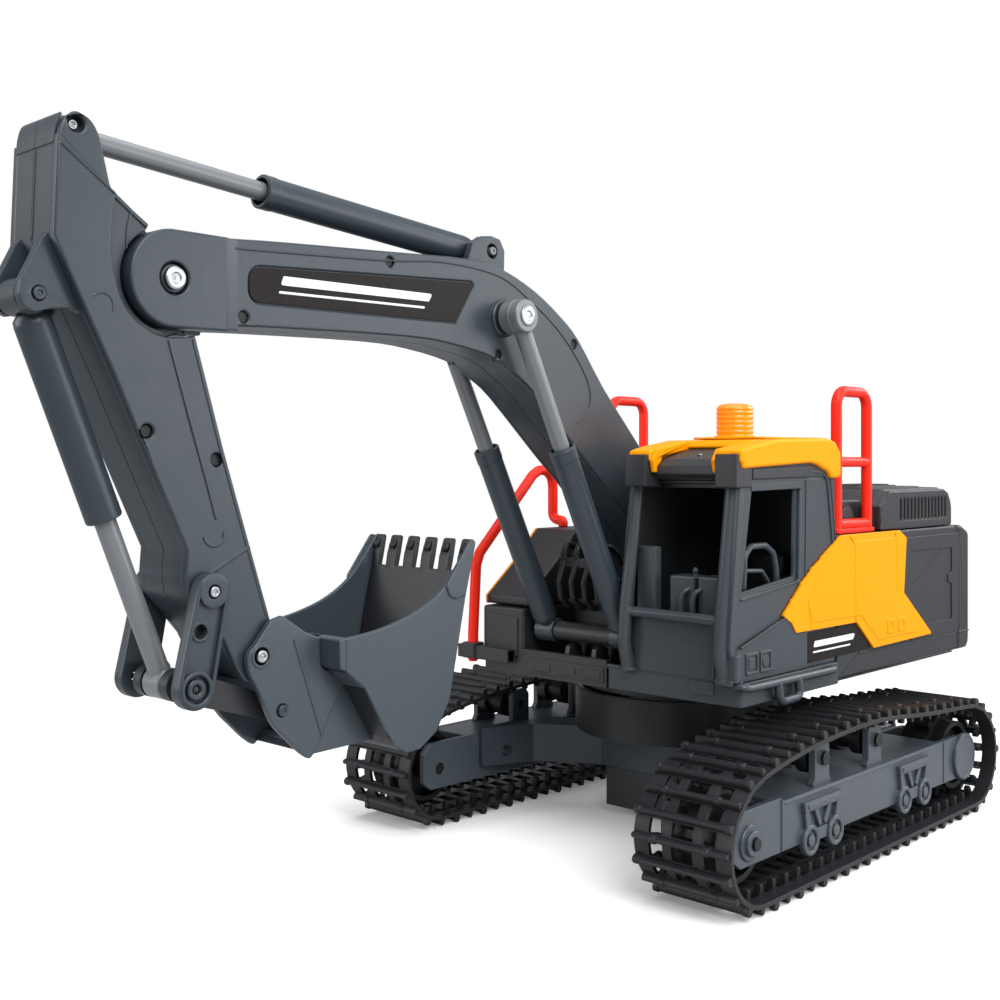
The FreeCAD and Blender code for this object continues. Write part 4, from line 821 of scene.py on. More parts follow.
# ---------------------------------------------------------------- bucket
def bucket_sides():
    part = Shape()
    side = smooth(points("291,138 270,140.5 250,146 235,154 225,164 215,176.5"))
    side += points("""212.6,176 219.4,149 229.4,104 237.6,90.6 247.8,84.1 255.2,83.8 262.6,87.6
        268.6,95.8 280.6,115.8 291,124""")
    part.plate(rounded(side, 1.0), 32.4, 35.0, 0.6, 0)
    # cutting-edge corner land on the side
    part.plate(points("213.2,176 216.6,177.0 232.5,156.4 230.2,151.4 226.2,149.8 219.9,151.4"),
               34.6, 36.0, 0.5, 2.2, steps=5)
    # moulded ear with the two pins
    ear = smooth(points("""320.5,147 327,139 331.5,134 331,127 326,118 319.5,104.5 311.4,95.8
        303,88.2 298.5,87.4 292,99"""))
    ear += points("285.5,110 281.5,116.5 290,123 294,125.5 294.5,137.6 302,140.6 314,148.6")
    part.ribbon(points("308.5,138.5 301.4,118.0 293.6,95.5"), 1.4, 21.5, 22.4, 0.4)
    part.plate(rounded(ear, 0.8, 2), 18.3, 21.8, 0.7, 0,
               [circle(HINGE, 3.6, 24), circle(LINK, 2.7, 24)], layers=3)
    part.ring(spot(HINGE, 21.3), 3.7, 5.0, 1.2)
    # web that carries the ear out to the side wall
    part.plate(points("294.5,137.6 289.5,138.4 289.5,123.4 294.0,125.5"), 18.3, 34.6, 0.6, 0.9)
    part.plate(points("281.3,115.6 290.2,123.2 288.2,125.0 279.4,117.6"), 18.4, 34.0, 0.3, 0.3)
    part.plate(points("281.5,116.9 279.6,115.4 262.8,88.6 299,87.7 292.4,99"),
               18.3, 20.3, 0.4, 0.6)
    # the bucket sides take the lighter grey, a painted sheen
    both(part, "bucket_side", "bucket", "bucket_grey", "grey_plastic",
         replaces=("bucket", None))


def bucket_shell():
    """The wall between the sides, from the lip round to the top edge."""
    outer = points("""216.2,161.5 219.4,149 229.4,104 233.2,96.6 237.6,90.6 242.4,86.7
        247.8,84.1 251.5,83.4 255.2,83.8 259.2,85.3 262.6,87.6 266.0,91.4 268.6,95.8
        280.6,115.8 286,120.4 291,124 291.6,131 291,138""")
    thickness = 2.4
    inner = []
    for i, (x, z) in enumerate(outer):
        step = Vector(outer[min(i + 1, len(outer) - 1)]) - Vector(outer[max(i - 1, 0)])
        step.normalize()
        inner.append((x - step.y * thickness, z + step.x * thickness))
    part = Shape()
    part.plate(outer + inner[::-1], -34.0, 34.0, 0.5, 0.3)
    # the shell takes the dark painted shade of the bucket's inside
    part.make("bucket_shell", "bucket", "bucket_inner", "grey_plastic")


def bucket_teeth():
    """Wide blades, rooted in the lip."""
    blade = points("""219.5,157.5 217.7,168 214.6,176.3 213.5,176.8 212.5,176.0 214.1,168
        216.7,157.5""")
    ridge = points("217.4,169.6 218.0,172.0 216.1,174.6 214.8,174.9")
    part = Shape()
    for i in range(6):
        y = -31 + i * 12.4
        part.plate(blade, y - 3.6, y + 3.6, 0.8, 0.5)
        part.plate(ridge, y - 1.9, y + 1.9, 0.6, 0.3)
    # the blades take the same dark painted shade
    part.make("bucket_teeth", "bucket", "bucket_inner", "grey_plastic")


def bucket_ribs():
    """Cross rod and plate between the ears."""
    part = Shape()
    rib = (HINGE[0] - 31, 90.5)
    part.rod(spot(rib, -19), spot(rib, 19), 2.4)
    part.plate(points("262.8,87.8 300.0,88.2 297.6,90.6 263.8,90.2"), -18.6, 18.6, 0.5, 0.5)
    part.make("bucket_ribs", "bucket", "grey_plastic")


# ---------------------------------------------------------------- cylinders
def cylinder_eye(part, centre, radius, half):
    part.lathe([(-half, radius - 0.6), (-half + 0.6, radius), (half - 0.6, radius),
                (half, radius - 0.6)], centre, segments=36)


def barrel(part, eye, far, y, radius, length, mouth, half_eye, lip=0.3):
    """Tube from its eye toward the far pin: shoulder, tube, mouth collar, open end."""
    part.lathe([(radius * 0.9, radius * 0.72), (radius * 1.15, radius * 0.96),
                (radius * 1.5, radius), (length - mouth - 0.3, radius),
                (length - mouth, radius + lip), (length - 0.5, radius + lip),
                (length, radius - 0.3), (length, radius - 1.2), (length - 8, radius - 1.25)],
               spot(eye, y), (far[0] - eye[0], 0, far[1] - eye[1]), 36)
    cylinder_eye(part, spot(eye, y), radius, half_eye)


def stem(part, eye, far, y, radius, length, eye_radius, half_eye):
    """Rod from its eye back toward the barrel's pin."""
    part.lathe([(eye_radius * 0.5, radius), (eye_radius * 0.95, radius + 0.5),
                (eye_radius + 1.6, radius), (length - 0.5, radius), (length, radius - 0.4)],
               spot(eye, y), (far[0] - eye[0], 0, far[1] - eye[1]))
    cylinder_eye(part, spot(eye, y), eye_radius, half_eye)


def cylinders():
    tube, rod = Shape(), Shape()
    for y in (27, -27):
        barrel(tube, BOOM_CYL_LOW, BOOM_CYL_TOP, y,
               radius=6.8, length=116, mouth=7, half_eye=6.6)
        stem(rod, BOOM_CYL_TOP, BOOM_CYL_LOW, y,
             radius=4.3, length=132, eye_radius=8.2, half_eye=6.4)
        rod.ring(spot(BOOM_CYL_TOP, y - (6.4 if y < 0 else 0)), 8.0, 8.55, 1.0)
    tube.make("boom_cylinder_tubes", "boom_barrels", "grey_plastic",
              replaces="boom_cylinder_barrels")
    rod.make("boom_cylinder_stems", "boom_rods", "rod_plastic", replaces="boom_cylinder_rods")
    single = (
        ("arm", ARM_CYL_REAR, ARM_CYL_TOP, dict(length=133, mouth=6),
         dict(radius=4.1, length=160, eye_radius=4.9, half_eye=7.6)),
        ("bucket", BUCKET_CYL_TOP, BUCKET_CYL_EYE, dict(length=90, mouth=5, lip=0.02),
         dict(radius=4.3, length=115, eye_radius=6.5, half_eye=6.0)),
    )
    for name, start, end, tube_sizes, rod_sizes in single:
        tube, rod = Shape(), Shape()
        barrel(tube, start, end, 0, radius=7.2, half_eye=7.4, **tube_sizes)
        tube.make(name + "_cylinder_tube", name + "_barrel", "grey_plastic",
                  replaces=name + "_cylinder_barrel")
        stem(rod, end, start, 0, **rod_sizes)
        rod.make(name + "_cylinder_stem", name + "_rod", "rod_plastic",
                 replaces=name + "_cylinder_rod")


def pins(table, name, body, material="steel", replaces=None):
    """Through pins, each (pivot, half length, head radius, shaft radius), with dimpled heads."""
    part = Shape()
    for pivot, y, head, shaft in table:
        part.rod(spot(pivot, -y), spot(pivot, y), shaft, 0.2, 24)
        for side in (1, -1):
            part.lathe([(-1.4, head * 0.92), (0, head), (0.6, head), (1.0, head * 0.86),
                        (1.0, head * 0.5), (0.45, head * 0.42), (0.45, head * 0.2),
                        (0.7, 0.01)], spot(pivot, y * side), (0, side, 0), 30)
    part.make(name, body, material, "steel", replaces, sharp=30)


def all_pins():
    pins([(BOOM_CYL_TOP, 33.4, 5.0, 3.4), (ELBOW, 20.2, 4.5, 3.4)],
         "boom_pin_caps", "boom", replaces="boom_pins")
    pins([(ARM_CYL_REAR, 12.4, 2.1, 2.0)], "boom_bracket_pin", "boom", "rod_plastic")
    pins([(ARM_CYL_TOP, 13.2, 2.0, 1.6), (HINGE, 22.2, 2.6, 2.6), (ROCKER, 24.0, 2.2, 2.2)],
         "arm_pin_caps", "arm", replaces="arm_pins")
    pins([(BUCKET_CYL_TOP, 12.3, 2.5, 2.4)], "arm_bracket_pin", "arm", "grey_plastic")
    pins([(LINK, 21.9, 2.5, 2.4)], "bucket_pin_caps", "bucket", "grey_plastic",
         replaces="bucket_link_pin")
    sleeve = Shape()
    sleeve.rod(spot(ARM_CYL_TOP, -13.0), spot(ARM_CYL_TOP, 13.0), 3.7, 0.3)
    sleeve.make("arm_top_sleeve", "arm", "dark_plastic")


# ---------------------------------------------------------------- house: rear body
RIGHT_WALL, LEFT_WALL = -70, 106.2  # outer faces of the rear body
DOOR_FRAME = points("-158.0,104.8 -92,104.8 -76,126 -76,167.5 -158.0,167.5")
DOOR_OPENING = points("-148.8,113.0 -96,113.6 -90.5,159.2 -148.8,158.4")
DOOR_NOTCH = points("-148.8,143 -143.2,142 -143.4,137 -148.4,135.6")
REFLECTORS_Y = (-52, 88)


def rear_body():
    part = Shape()
    # main block, then the sloping block on the right
    part.plate(points("-158.4,92.2 -0.8,92.2 -0.8,172.2 -10,172.4 -154.5,172.4 -158.4,170.5"),
               RIGHT_WALL, LEFT_WALL, 1.6, 1.2, layers=3)
    part.plate(points("-2,129.4 95.8,129.4 95.8,134.4 69.5,155.1 52,172.2 -2,172.2"),
               RIGHT_WALL, -37.4, 1.2, 1.6, layers=3)
    part.ribbon([(-157.5, 103.4), (-26, 104.2)], 0.9, 106.0, 106.7)
    part.make("rear_body", "house", "dark_plastic", replaces="rear_body_shell")
    # raised frames round the sunk doors; the left opening is notched at its rear edge
    for tag, opening, low, high in (("left", DOOR_OPENING + DOOR_NOTCH, 106.0, 106.9),
                                    ("right", DOOR_OPENING, -70.7, -69.8)):
        door = Shape()
        door.plate(DOOR_FRAME, low, high, 0.25, 0.8, [rounded(opening, 0.6, 2)])
        door.make(tag + "_door_frame", "house", "dark_plastic")


def counterweight():
    part = Shape()
    part.plate(points("""-159.0,92.0 -172.5,92.0 -175.6,95.0 -176.4,98 -176.4,165.6
        -174.6,168.2 -165,172.2 -159.0,172.2"""), RIGHT_WALL, LEFT_WALL, 2.2, 1.6, layers=3)
    part.plate(rect(-176.2, -176.7, 104.2, 160), -58, 94, 0.15, 0)
    part.box(-177.0, -176.0, -20, 56, 112, 128, 0.3, 2.0, "x")
    part.ribbon([(-159.8, 103.4), (-175.9, 103.2)], 0.8, 106.0, 106.6)
    for y in REFLECTORS_Y:
        part.box(-177.0, -175.8, y - 9, y + 9, 96.5, 102.5, 0.3, 1.6, "x")
    part.make("counterweight_block", "house", "dark_plastic", replaces="counterweight")
    lamps = Shape()
    for y in REFLECTORS_Y:
        lamps.box(-177.3, -176.6, y - 7.5, y + 7.5, 97.6, 101.4, 0.25, 1.2, "x")
    lamps.make("rear_reflectors", "house", "red_plastic")


def hood():
    part = Shape()
    # rear hood, with a skin of louvre slots on both flanks
    part.plate(points("""-52.5,172.6 -52.5,188 -64,196.8 -139,197 -146,194.5 -150,188.5
        -151,184 -151,172.6"""), -58, 102, 1.2, 1.5, layers=3)
    slots = []
    for i in range(14):
        x = -79.5 - 4.75 * i
        slots.append(rounded(rect(x - 1.1, x + 1.1, 178, 191), 0.9))
    skin = points("""-52.8,172.8 -52.8,187 -64,195.8 -139,196.0 -145.2,193.7 -149,188.2
        -150.2,184 -150.2,172.8""")
    for low, high in ((101.0, 106.0), (-62.0, -57.4)):
        part.plate(skin, low, high, 1.1, 1.4, slots, layers=3)
    # front, lower hood
    part.plate(points("-50,172.6 -1.2,172.6 -1.2,186 -6,191 -50,191"), -50, 95, 1.6, 2.0,
               layers=3)
    part.ribbon([(-52.9, 178), (-62.6, 195.4)], 1.2, 105.8, 106.5)
    # ribbed plates on top
    part.box(-140, -70, -44, 90, 196.6, 197.6, 0.3, 4)
    for y in (-20, 22, 64):
        part.box(-132, -82, y - 14, y + 14, 197.3, 198.3, 0.3, 3)
        for i in range(8):
            x = i * 5.4
            part.box(-126 + x, -124.2 + x, y - 11, y + 11, 198.0, 199.0, 0.3, 0.4)
    # short cross drum, and the round cap on the lower hood
    part.rod((-30, 97.2, 180.5), (-30, 91, 180.5), 7.2, 0.8)
    part.lathe(points("0,7.4 5.2,7.2 6.0,6.4 6.0,5.0 5.2,4.4 5.2,0.1"),
               (-27.0, 70, 190.6), UP, 28)
    part.make("hood_cover", "house", "dark_plastic", replaces="engine_hood")


# ---------------------------------------------------------------- house: side panels
def left_panel():
    part = Shape()
    # sheet with a stepped front edge
    part.plate(points("""59.4,133.2 51.5,139.2 50.6,140.9 48.8,141.4 41.5,147.4 40.6,149.2
        38.8,149.6 30.8,154.6 29.6,156.4 28.0,156.6 20,160.4 19.0,162.2 17.4,162.3 12.8,164.8
        -2.7,172.4 -72.9,172.4 -82.1,167.7 -78.6,135 -117.1,106.7 -40.2,105.9 -20,122.5
        46.4,123 50.8,128.6 54,130.2"""), 106.3, 108.3)
    # proud field inside the border, and its dividing lines
    part.plate(points("""33,134.4 12,154 -6.8,168.4 -68,168.4 -75,164.8 -73.4,136.0 -97,110.2
        -45.2,110.0 -24,126.2 30,127"""), 107.6, 108.62, 0.45, 1.0)
    part.ribbon(points("-18.2,123.4 -17.2,166.6 -11.6,171.6"), 0.9, 108.1, 108.85)
    part.ribbon(points("-68.4,136 -68.7,166.4 -66.2,171.6"), 0.7, 108.1, 108.8)
    part.ribbon(points("31,124 34.6,139.3 13.6,163.4"), 0.7, 108.0, 108.6)
    # two small raised squares near the lower corner
    for x in (-56, -70):
        part.plate(rect(x, x - 9.4, 112.4, 121), 108.3, 109.0, 0.25, 1.4,
                   [rounded(rect(x - 2.4, x - 7, 114.6, 118.8), 0.8)])
    part.make("left_yellow_panel", "house", "yellow_plastic", replaces="left_side_panel")


def right_panel():
    part = Shape()
    part.plate(points("""95,134.2 69.2,154.8 51,172 -72.9,172 -82.1,167.7 -78.6,135
        -117.1,106.7 -40.2,105.9 -20,129.2 95,129.2"""), -71.9, -70.1, 0.5, 1.0)
    part.plate(points("""84,133.4 64.4,149.6 47.4,167.6 -68,167.6 -75,164.8 -73.4,136.0
        -97,110.2 -45.2,110.0 -24,132.6"""), -72.4, -71.3, 0.45, 1.2)
    part.ribbon([(-17.2, 131), (-17.2, 167)], 0.9, -72.6, -72.0)
    part.ribbon([(40, 133), (40, 166)], 0.9, -72.6, -72.0)
    part.make("right_yellow_panel", "house", "yellow_plastic", replaces="right_side_panel")


def left_nameplate():
    """Dark blank plate below the left panel, with plain bars."""
    label = Shape()
    label.plate(points("33.0,105.6 -38.6,105.9 -20.6,121.6 33.0,121.4"), 106.2, 107.0, 0.2, 0.9)
    label.make("left_side_label", "house", "label", "dark_plastic")
    marks = Shape()
    marks.plate(points("27,113.2 -17,113.2 -19.6,116.6 25.6,116.6"), 106.9, 107.2, 0.1)
    marks.plate(points("27.6,110.2 -13.4,110.2 -14.2,111.2 27.2,111.2"), 106.9, 107.2, 0.1, 0.3)
    marks.make("left_side_marks", "house", "mark", "grey_plastic")


# ---------------------------------------------------------------- cab
def cab_frame():
    part = Shape()
    # base tray with the lifted rim
    part.box(1.6, 100.7, 24.4, 108.9, 90.9, 103.0, 0.9, 2.2)
    part.box(98.6, 101.0, 24.4, 108.9, 101.8, 104.2, 0.5, 0.6, "x")
    part.box(100.2, 101.7, 78.6, 93.3, 95.2, 102.1, 0.4, 0.8, "x")
    # outer (left) wall with its window and stepped frame
    window = rounded(points("86.4,200.2 39.6,200.8 40.9,150.6 96.6,145.4"), 1.2)
    pane = rounded(points("84.4,198.2 41.6,198.8 42.8,152.6 94.2,147.4"), 1.2)
    part.plate(points("2.0,103 101.2,103 104.4,113 106.8,121 97.2,204.2 2.0,204.2"),
               103.4, 106.3, 0.6, 0.8, [window])
    part.plate(inset(window, -1.5), 102.4, 104.4, 0.3, 0, [pane])
    part.plate(points("87.6,202 38,202.6 38,199.0 88.0,198.2"), 104.0, 106.9, 0.4, 0.4)
    # door edge behind the window and the rounded rear frame
    part.ribbon([(34.4, 150), (33.5, 203.6)], 0.9, 106.1, 106.9)
    part.ribbon(smooth(points("""4.0,160 7.4,182 10.4,200.0 12.4,204.0 16.8,207.0 24.6,208.0
        30,207.8""")), 1.3, 106.0, 107.2)
    part.ribbon(smooth(points("1.6,168 4.0,186 6.6,200.0 8.4,205.0")), 0.9, 106.0, 106.8)
    # lower skirt with its sloping top edge
    part.plate(points("33.6,103.2 103.6,103.2 103.6,116.6 98.4,120.4 58.3,131.6 54.8,133.0 33.6,133"),
               105.6, 107.4, 0.5, 1.0)
    part.ribbon(points("99.2,120.6 58.3,131.4 55.2,132.8"), 1.2, 107.0, 108.1)
    part.ribbon(points("97.2,144.2 69,147.2 40.6,150.0"), 1.1, 106.0, 107.1)
    # raised squares, one with a block and one with a disc
    for x0, x1 in ((94.6, 83.2), (81.4, 70.6)):
        part.plate(rect(x0, x1, 106.4, 117.2), 107.2, 108.2, 0.3, 0.7,
                   [rounded(rect(x0 - 1.4, x1 + 1.4, 107.8, 115.8), 0.6, 2)])
    part.plate(rect(92, 86.2, 109, 114.8), 107.2, 107.9, 0.2, 0.6)
    part.lathe([(0, 3.2), (0.7, 3.2), (0.9, 2.8)], (76.0, 107.2, 111.9), segments=24)
    # corner block below the front post
    part.box(98.2, 105.2, 99.0, 108.8, 103.6, 117.4, 0.7, 1.6)
    part.box(99.4, 106.6, 96.6, 107.0, 102.0, 105.2, 0.6, 1.2)
    # inner side wall, towards the boom
    part.plate(points("2.0,103 96.0,103 98.0,113 99.5,121 91.0,204.2 2.0,204.2"), 36.2, 38.8)
    # front: lower panel, cross bar and two thin struts
    part.box(99.4, 101.8, 40, 98, 103.4, 133.4, 0.4, 0.6, "x")
    part.sweep(points("104.4,41.4,134.4 105.2,99.4,134.0"), 2.7, 14)
    part.sweep(points("104.8,38.9,119.0 102.6,43.6,104.4"), 0.9, 8)
    part.sweep(points("104.6,94.8,104.4 105.2,96.6,118.0"), 0.8, 8)
    # rear wall and ceiling
    part.box(1.6, 4.4, 36.4, 106.0, 103, 204, 0.4, 0.6, "x")
    part.plate(points("2,203.6 91,203.6 89,207.8 2,208.6"), 38.4, 106.2, 0.4, 0.6)
    # front posts: round tubes just off the walls, the left one doubled
    post = points("103.0,103.4 106.8,118.5 104.8,138 95.4,201.6")
    for y in (40.8, 100.4):
        part.sweep(lay(post, y), 3.6, 16, corner=9, steps=6)
        if y > 60:
            part.sweep(lay([(102.4, 118.5), (93.4, 201.0)], y + 4.0), 1.9, 12)
        part.lathe([(0, 5.0), (1.4, 5.0), (2.0, 4.2)], (102.4, y, 103.0), UP, 22)
    part.make("cab_frame", "house", "cab", "grey_plastic", replaces="cab_shell")


def cab_lining():
    part = Shape()
    part.box(84.0, 88.0, 39, 103, 199.4, 206.0, 0.4, 0.6, "x")
    part.plate(points("6,104 97,104 98.4,121 90.4,203.4 6,203.4"), 38.6, 39.6, 0.2, 0.4)
    part.box(4.2, 5.4, 39, 103.2, 104, 203.4, 0.2, 0.4, "x")
    part.box(6, 99.2, 39, 103.2, 103.0, 104.8, 0.3, 0.6)
    part.box(6, 91, 39, 103.2, 201.9, 203.4, 0.3, 0.6)
    part.make("cab_lining", "house", "black_plastic", "dark_plastic")


def roof_cap():
    """Left and right caps joined over the back, with an open recess at the front middle."""
    part = Shape()
    side = points("""98.6,209.6 100.6,214.6 100.0,218.6 96.4,219.8 88,221.4 66,224.8 14,226.0
        6,224.0 0.4,218.4 0.0,204.2 10.4,204.2 13.6,207.6 24.9,211.4 32.5,212.5 69.6,210.9""")
    part.plate(side, 103.6, 109.4, 1.8, 2.2, layers=3)
    part.plate(side, 38.6, 43.4, 1.6, 2.2, layers=3)
    part.plate(points("""0.6,205 0.4,218.4 6,224.0 14,226.0 66,224.8 70,221 66,219 12,219
        5,214 5,205"""), 40, 108, 0.6, 1.0)
    # lobes over the two front blocks
    lobe = points("66,218 100.2,211.8 101.0,215.0 100.2,218.8 96.4,220.0 88,221.6 64,225.0")
    for low, high in ((38.6, 53.2), (93.2, 109.2)):
        part.plate(lobe, low, high, 1.6, 1.6, layers=3)
    part.plate(points("101.0,212.6 101.0,218.4 96.6,220 70,223.6 70,221 94,217.0 97.2,212.6"),
               103.2, 109.3, 1.2, 1.0)
    # cheeks that hang down beside the recess
    cheek = points("99.4,207.6 101.0,214 97,219.6 66,224.4 66,220 92,216 95.6,207.6")
    for y in (54.0, 92.4):
        part.plate(cheek, y - 1.4, y + 1.4, 0.8)
    # shallow ridges on the crown
    part.box(18, 62, 52, 96, 225.2, 226.4, 0.5, 4)
    part.box(12, 30, 44, 106, 225.0, 226.2, 0.5, 3)
    part.make("roof_cap", "house", "yellow_plastic", replaces="cab_roof")


def roof_blocks():
    """Dark blocks and lining below the cap, with a screw in the recess."""
    part = Shape()
    for y0, y1 in ((38.8, 52.4), (95.0, 107.8)):
        part.box(88.5, 103.4, y0, y1, 200.2, 217.0, 0.8)
        part.box(86, 93, y0 + 1.5, y1 - 1.5, 199.6, 212.0, 0.6)
    part.plate(points("66,220.6 92.6,214.6 97.4,210.8 97.4,206.6 94,204.8 62,206 62,219"),
               52.8, 94.6, 0.8, 1.2)
    part.plate(points("6,205 94,204.4 94,210.2 60,213.2 12,213.2"), 41, 106.8, 0.4, 0.6)
    part.plate(points("30,205 88,204.4 88,209.4 30,211.0"), 105.4, 107.8)
    part.make("roof_blocks", "house", "dark_plastic")
    screw = Shape()
    screw.lathe([(0, 1.3), (0.6, 1.3), (0.9, 0.9)], (84.5, 73.5, 216.3), (-0.25, 0, 1), 14)
    screw.make("roof_screw", "house", "steel")


def beacon():
    x, y = 47, 70.6
    base = Shape()
    base.lathe([(0, 11.6), (1.6, 11.4), (2.2, 10.6)], (x, y, 225.0), UP, 40)
    base.make("beacon_base", "house", "yellow_plastic")
    profile = [(0, 9.6), (1.0, 10.0)]
    for i in range(6):
        z = 1.0 + i * 2.6
        profile += [(z + 0.5, 10.0), (z + 1.3, 9.5), (z + 2.1, 10.0)]
    profile += points("17.0,9.7 18.2,8.6 18.9,6.8 19.2,4")
    lens = Shape()
    lens.lathe(profile, (x, y, 225.6), UP, 48)
    lens.make("beacon_glass", "house", "amber_lens", replaces="beacon_lens")


def cab_seat():
    part = Shape()
    part.box(14, 50, 52, 94, 103.5, 108.5, 0.6, 2)
    part.plate(points("18,108 46,108 49,112 49,118 44,121 22,122 20,150 12,152 11,112"),
               54, 92, 2.4, 3.0, steps=4, layers=3)
    part.plate(points("11,149 19,149 18,162 12,162"), 62, 84, 2.0, 2.6, layers=3)
    # arm rests with levers
    for y in (49, 97):
        part.plate(points("22,122 58,122 60,126 56,133 24,134"), y - 3.6, y + 3.6, 1.2, 2.0,
                   layers=3)
        part.sweep(lay([(54, 130), (55.5, 139), (56, 141)], y), 1.0, 8)
        part.lathe(points("0,1.0 0.8,2.0 2.4,2.3 4.4,1.8 5.2,0.6"), (56, y, 140.5), UP, 14)
    part.make("cab_seat", "house", "black_plastic", "dark_plastic", replaces="cab_interior")


def cab_consoles():
    part = Shape()
    # tall console, two dashboard boxes and bent levers
    part.plate(points("96.4,104 96.4,168.6 90.4,168.6 90.4,104"), 41.2, 53.4, 1.0, 1.6)
    part.box(81, 95, 61.2, 76.8, 104.4, 154.0, 1.2, 1.6)
    part.box(81, 95, 78.8, 92.2, 104.4, 154.2, 1.2, 1.6)
    part.lathe([(0, 1.4), (1.4, 1.2), (2.6, 1.7), (4.2, 0.9)], (88, 73.0, 153.8), UP, 12)
    for y in (70.5, 77.8):
        part.sweep([(97.4, y, 128), (97.8, y, 141), (97.4, y + 1.2, 145.8),
                    (94.6, y + 3.2, 147.4)], 1.5, 10, corner=3)
    # curved loops by the side window
    part.sweep(lay(points("81,148 80,165 74,169.4 60,169.4 52,165 49.4,157 47.6,140"), 97.5),
               1.7, 10, corner=6)
    part.sweep(lay(points("82,157.2 62.7,156.1 52.8,146"), 97.0), 1.3, 10, corner=3)
    part.make("cab_consoles", "house", "cab", "dark_plastic")


# ---------------------------------------------------------------- rails, step, hoses
RAIL_RADIUS = 3.1


def rails():
    front, rear = -9.4, -45
    hoop = [(rear, 173.4), (rear, 253), (front, 253), (front, 173.4)]
    for tag, y, replaced in (("left", 101.0, "rear_handrails"), ("right", -60.0, None)):
        part = Shape()
        part.sweep(lay(hoop, y), RAIL_RADIUS, 16, corner=8.5, steps=6)
        part.sweep([(rear, y, 213), (front, y, 213)], RAIL_RADIUS * 0.94, 14)
        part.sweep([(rear, y, 177.6), (front, y, 177.6)], RAIL_RADIUS * 0.98, 14)
        part.box(-49.2, -5.2, y - 3.4, y + 3.4, 172.6, 175.4, 0.7, 1.5)
        part.make(tag + "_rear_rail", "house", "red_plastic", replaces=replaced)
    part = Shape()
    part.sweep(lay(points("""103,96.4 103,112 100.5,152 97.5,159 50,205 44,208 37,207.5 32,203
        31,197 31,177"""), -74.5) + [(31, -66, 176), (31, -66, 172.9)],
               RAIL_RADIUS, 16, corner=7, steps=4)
    part.make("front_rail", "house", "red_plastic", replaces="front_handrail")
    clamp = Shape()
    clamp.box(98.2, 107.8, -79.6, -69.4, 97.4, 106.6, 0.8, 1.4)
    clamp.make("front_rail_clamp", "house", "dark_plastic")


def side_step():
    part = Shape()
    part.sweep(points("""102.5,106.4,101.8 102.5,111.4,101.8 98.0,112.2,101.0 13,112.2,100.4
        12.5,108.6,100.4"""), 2.0, 14, corner=3.4)
    part.box(22, 103, 108.0, 112.2, 99.6, 102.0, 0.6, 1.0)
    part.sweep(points("""71.5,112.2,100.2 70.5,112.6,92.4 67.5,112.6,90.6 53.5,112.6,91.0
        51.0,112.6,93.0 51.8,112.2,100.2"""), 2.3, 14, corner=4)
    part.make("side_step", "house", "grey_plastic", replaces="boarding_step")


def hoses():
    """Four bent hoses on a bracket ahead of the boom foot."""
    hose = points("""80,132 88,131.5 94.5,137 96,146 93,153 91,158 91,163 89,166.3 84,165.5
        78,161.5 74,156""")
    part = Shape()
    part.box(74, 79, -19, 19, 97, 131, 0.6, 1.0, "x")
    part.box(74.6, 84.4, -19.5, 19.5, 129.4, 134.4, 0.8, 1.2, "x")
    part.box(72, 88, -21, 21, 96.4, 99.4, 0.6, 1.4)
    for y in (-13.5, -4.5, 4.5, 13.5):
        part.sweep(lay(hose, y), 1.9, 12, corner=3, steps=3)
        part.rod((79, y, 132), (83.5, y, 131.8), 2.9, segments=6)
        part.rod((90.6, y, 158.8), (91.2, y, 162.6), 2.6, 0.4, 12)
    part.box(88.6, 92.6, -17.5, 17.5, 153.6, 159.2, 0.7, 1.0, "x")
    part.make("hose_set", "house", "black_plastic", "dark_plastic", replaces="hose_bundle")
    screws = Shape()
    for y in (-9, 0, 9):
        screws.lathe([(0, 1.2), (0.5, 1.2), (0.8, 0.8)], (84.3, y, 131.9), ALONG_X, 12)
    screws.make("hose_screws", "house", "steel")


# ---------------------------------------------------------------- house: right front
def front_box():
    part = Shape()
    part.box(1.2, 100, -69.8, -37.2, 96.3, 128.6, 1.4, 2.4)
    part.box(99.4, 101.0, -66, -41, 101, 124, 0.4, 1.6, "x")
    part.ribbon([(4, 112.6), (97, 112.6)], 0.9, -70.3, -69.6)
    part.rod((50, -69.8, 104.6), (50, -70.6, 104.6), 3.4, 0.3)
    part.make("right_box_cover", "house", "dark_plastic", replaces="right_front_box")
    bars = Shape()
    bars.box(100.3, 106.0, -83.6, -44.4, 97.6, 100.0, 0.5, 1.0)
    bars.box(100.3, 106.0, -83.6, -44.4, 102.8, 104.9, 0.5, 1.0)
    for y in (-83, -64, -45.6):
        bars.box(100.6, 105.4, y, y + 1.6, 98, 104.4, 0.3, 0.4)
    bars.make("right_step_bars", "house", "dark_plastic")
    trim = Shape()
    trim.box(99.6, 100.9, -34, 22, 93.0, 101.6, 0.3, 1.2, "x")
    for y in (-28, -10, 8):
        trim.box(100.6, 101.5, y, y + 12, 94.6, 99.8, 0.25, 0.8, "x")
    trim.make("front_wall_trim", "house", "dark_plastic")


# ---------------------------------------------------------------- CAD solids
# CAD nodes by material; wheels not named here are black, all else dark.
CAD_NODES = {
    "grey_plastic": "chassis_frame left_track_frame right_track_frame",
    "cell": "battery_cells",
    "steel": "chassis_screws boom_pins arm_pins rocker_pin bucket_link_pin",
    "belt_rubber": "left_track_belt right_track_belt",
    "black_plastic": "track_axles boom_screws arm_screws",
    "motor_case": "drive_motors house_motors arm_motor bucket_motor",
    "gear_plastic": "slew_ring_gear slew_pinion",
    "red_plastic": "power_switch_knob",
    "board": "circuit_board",
}


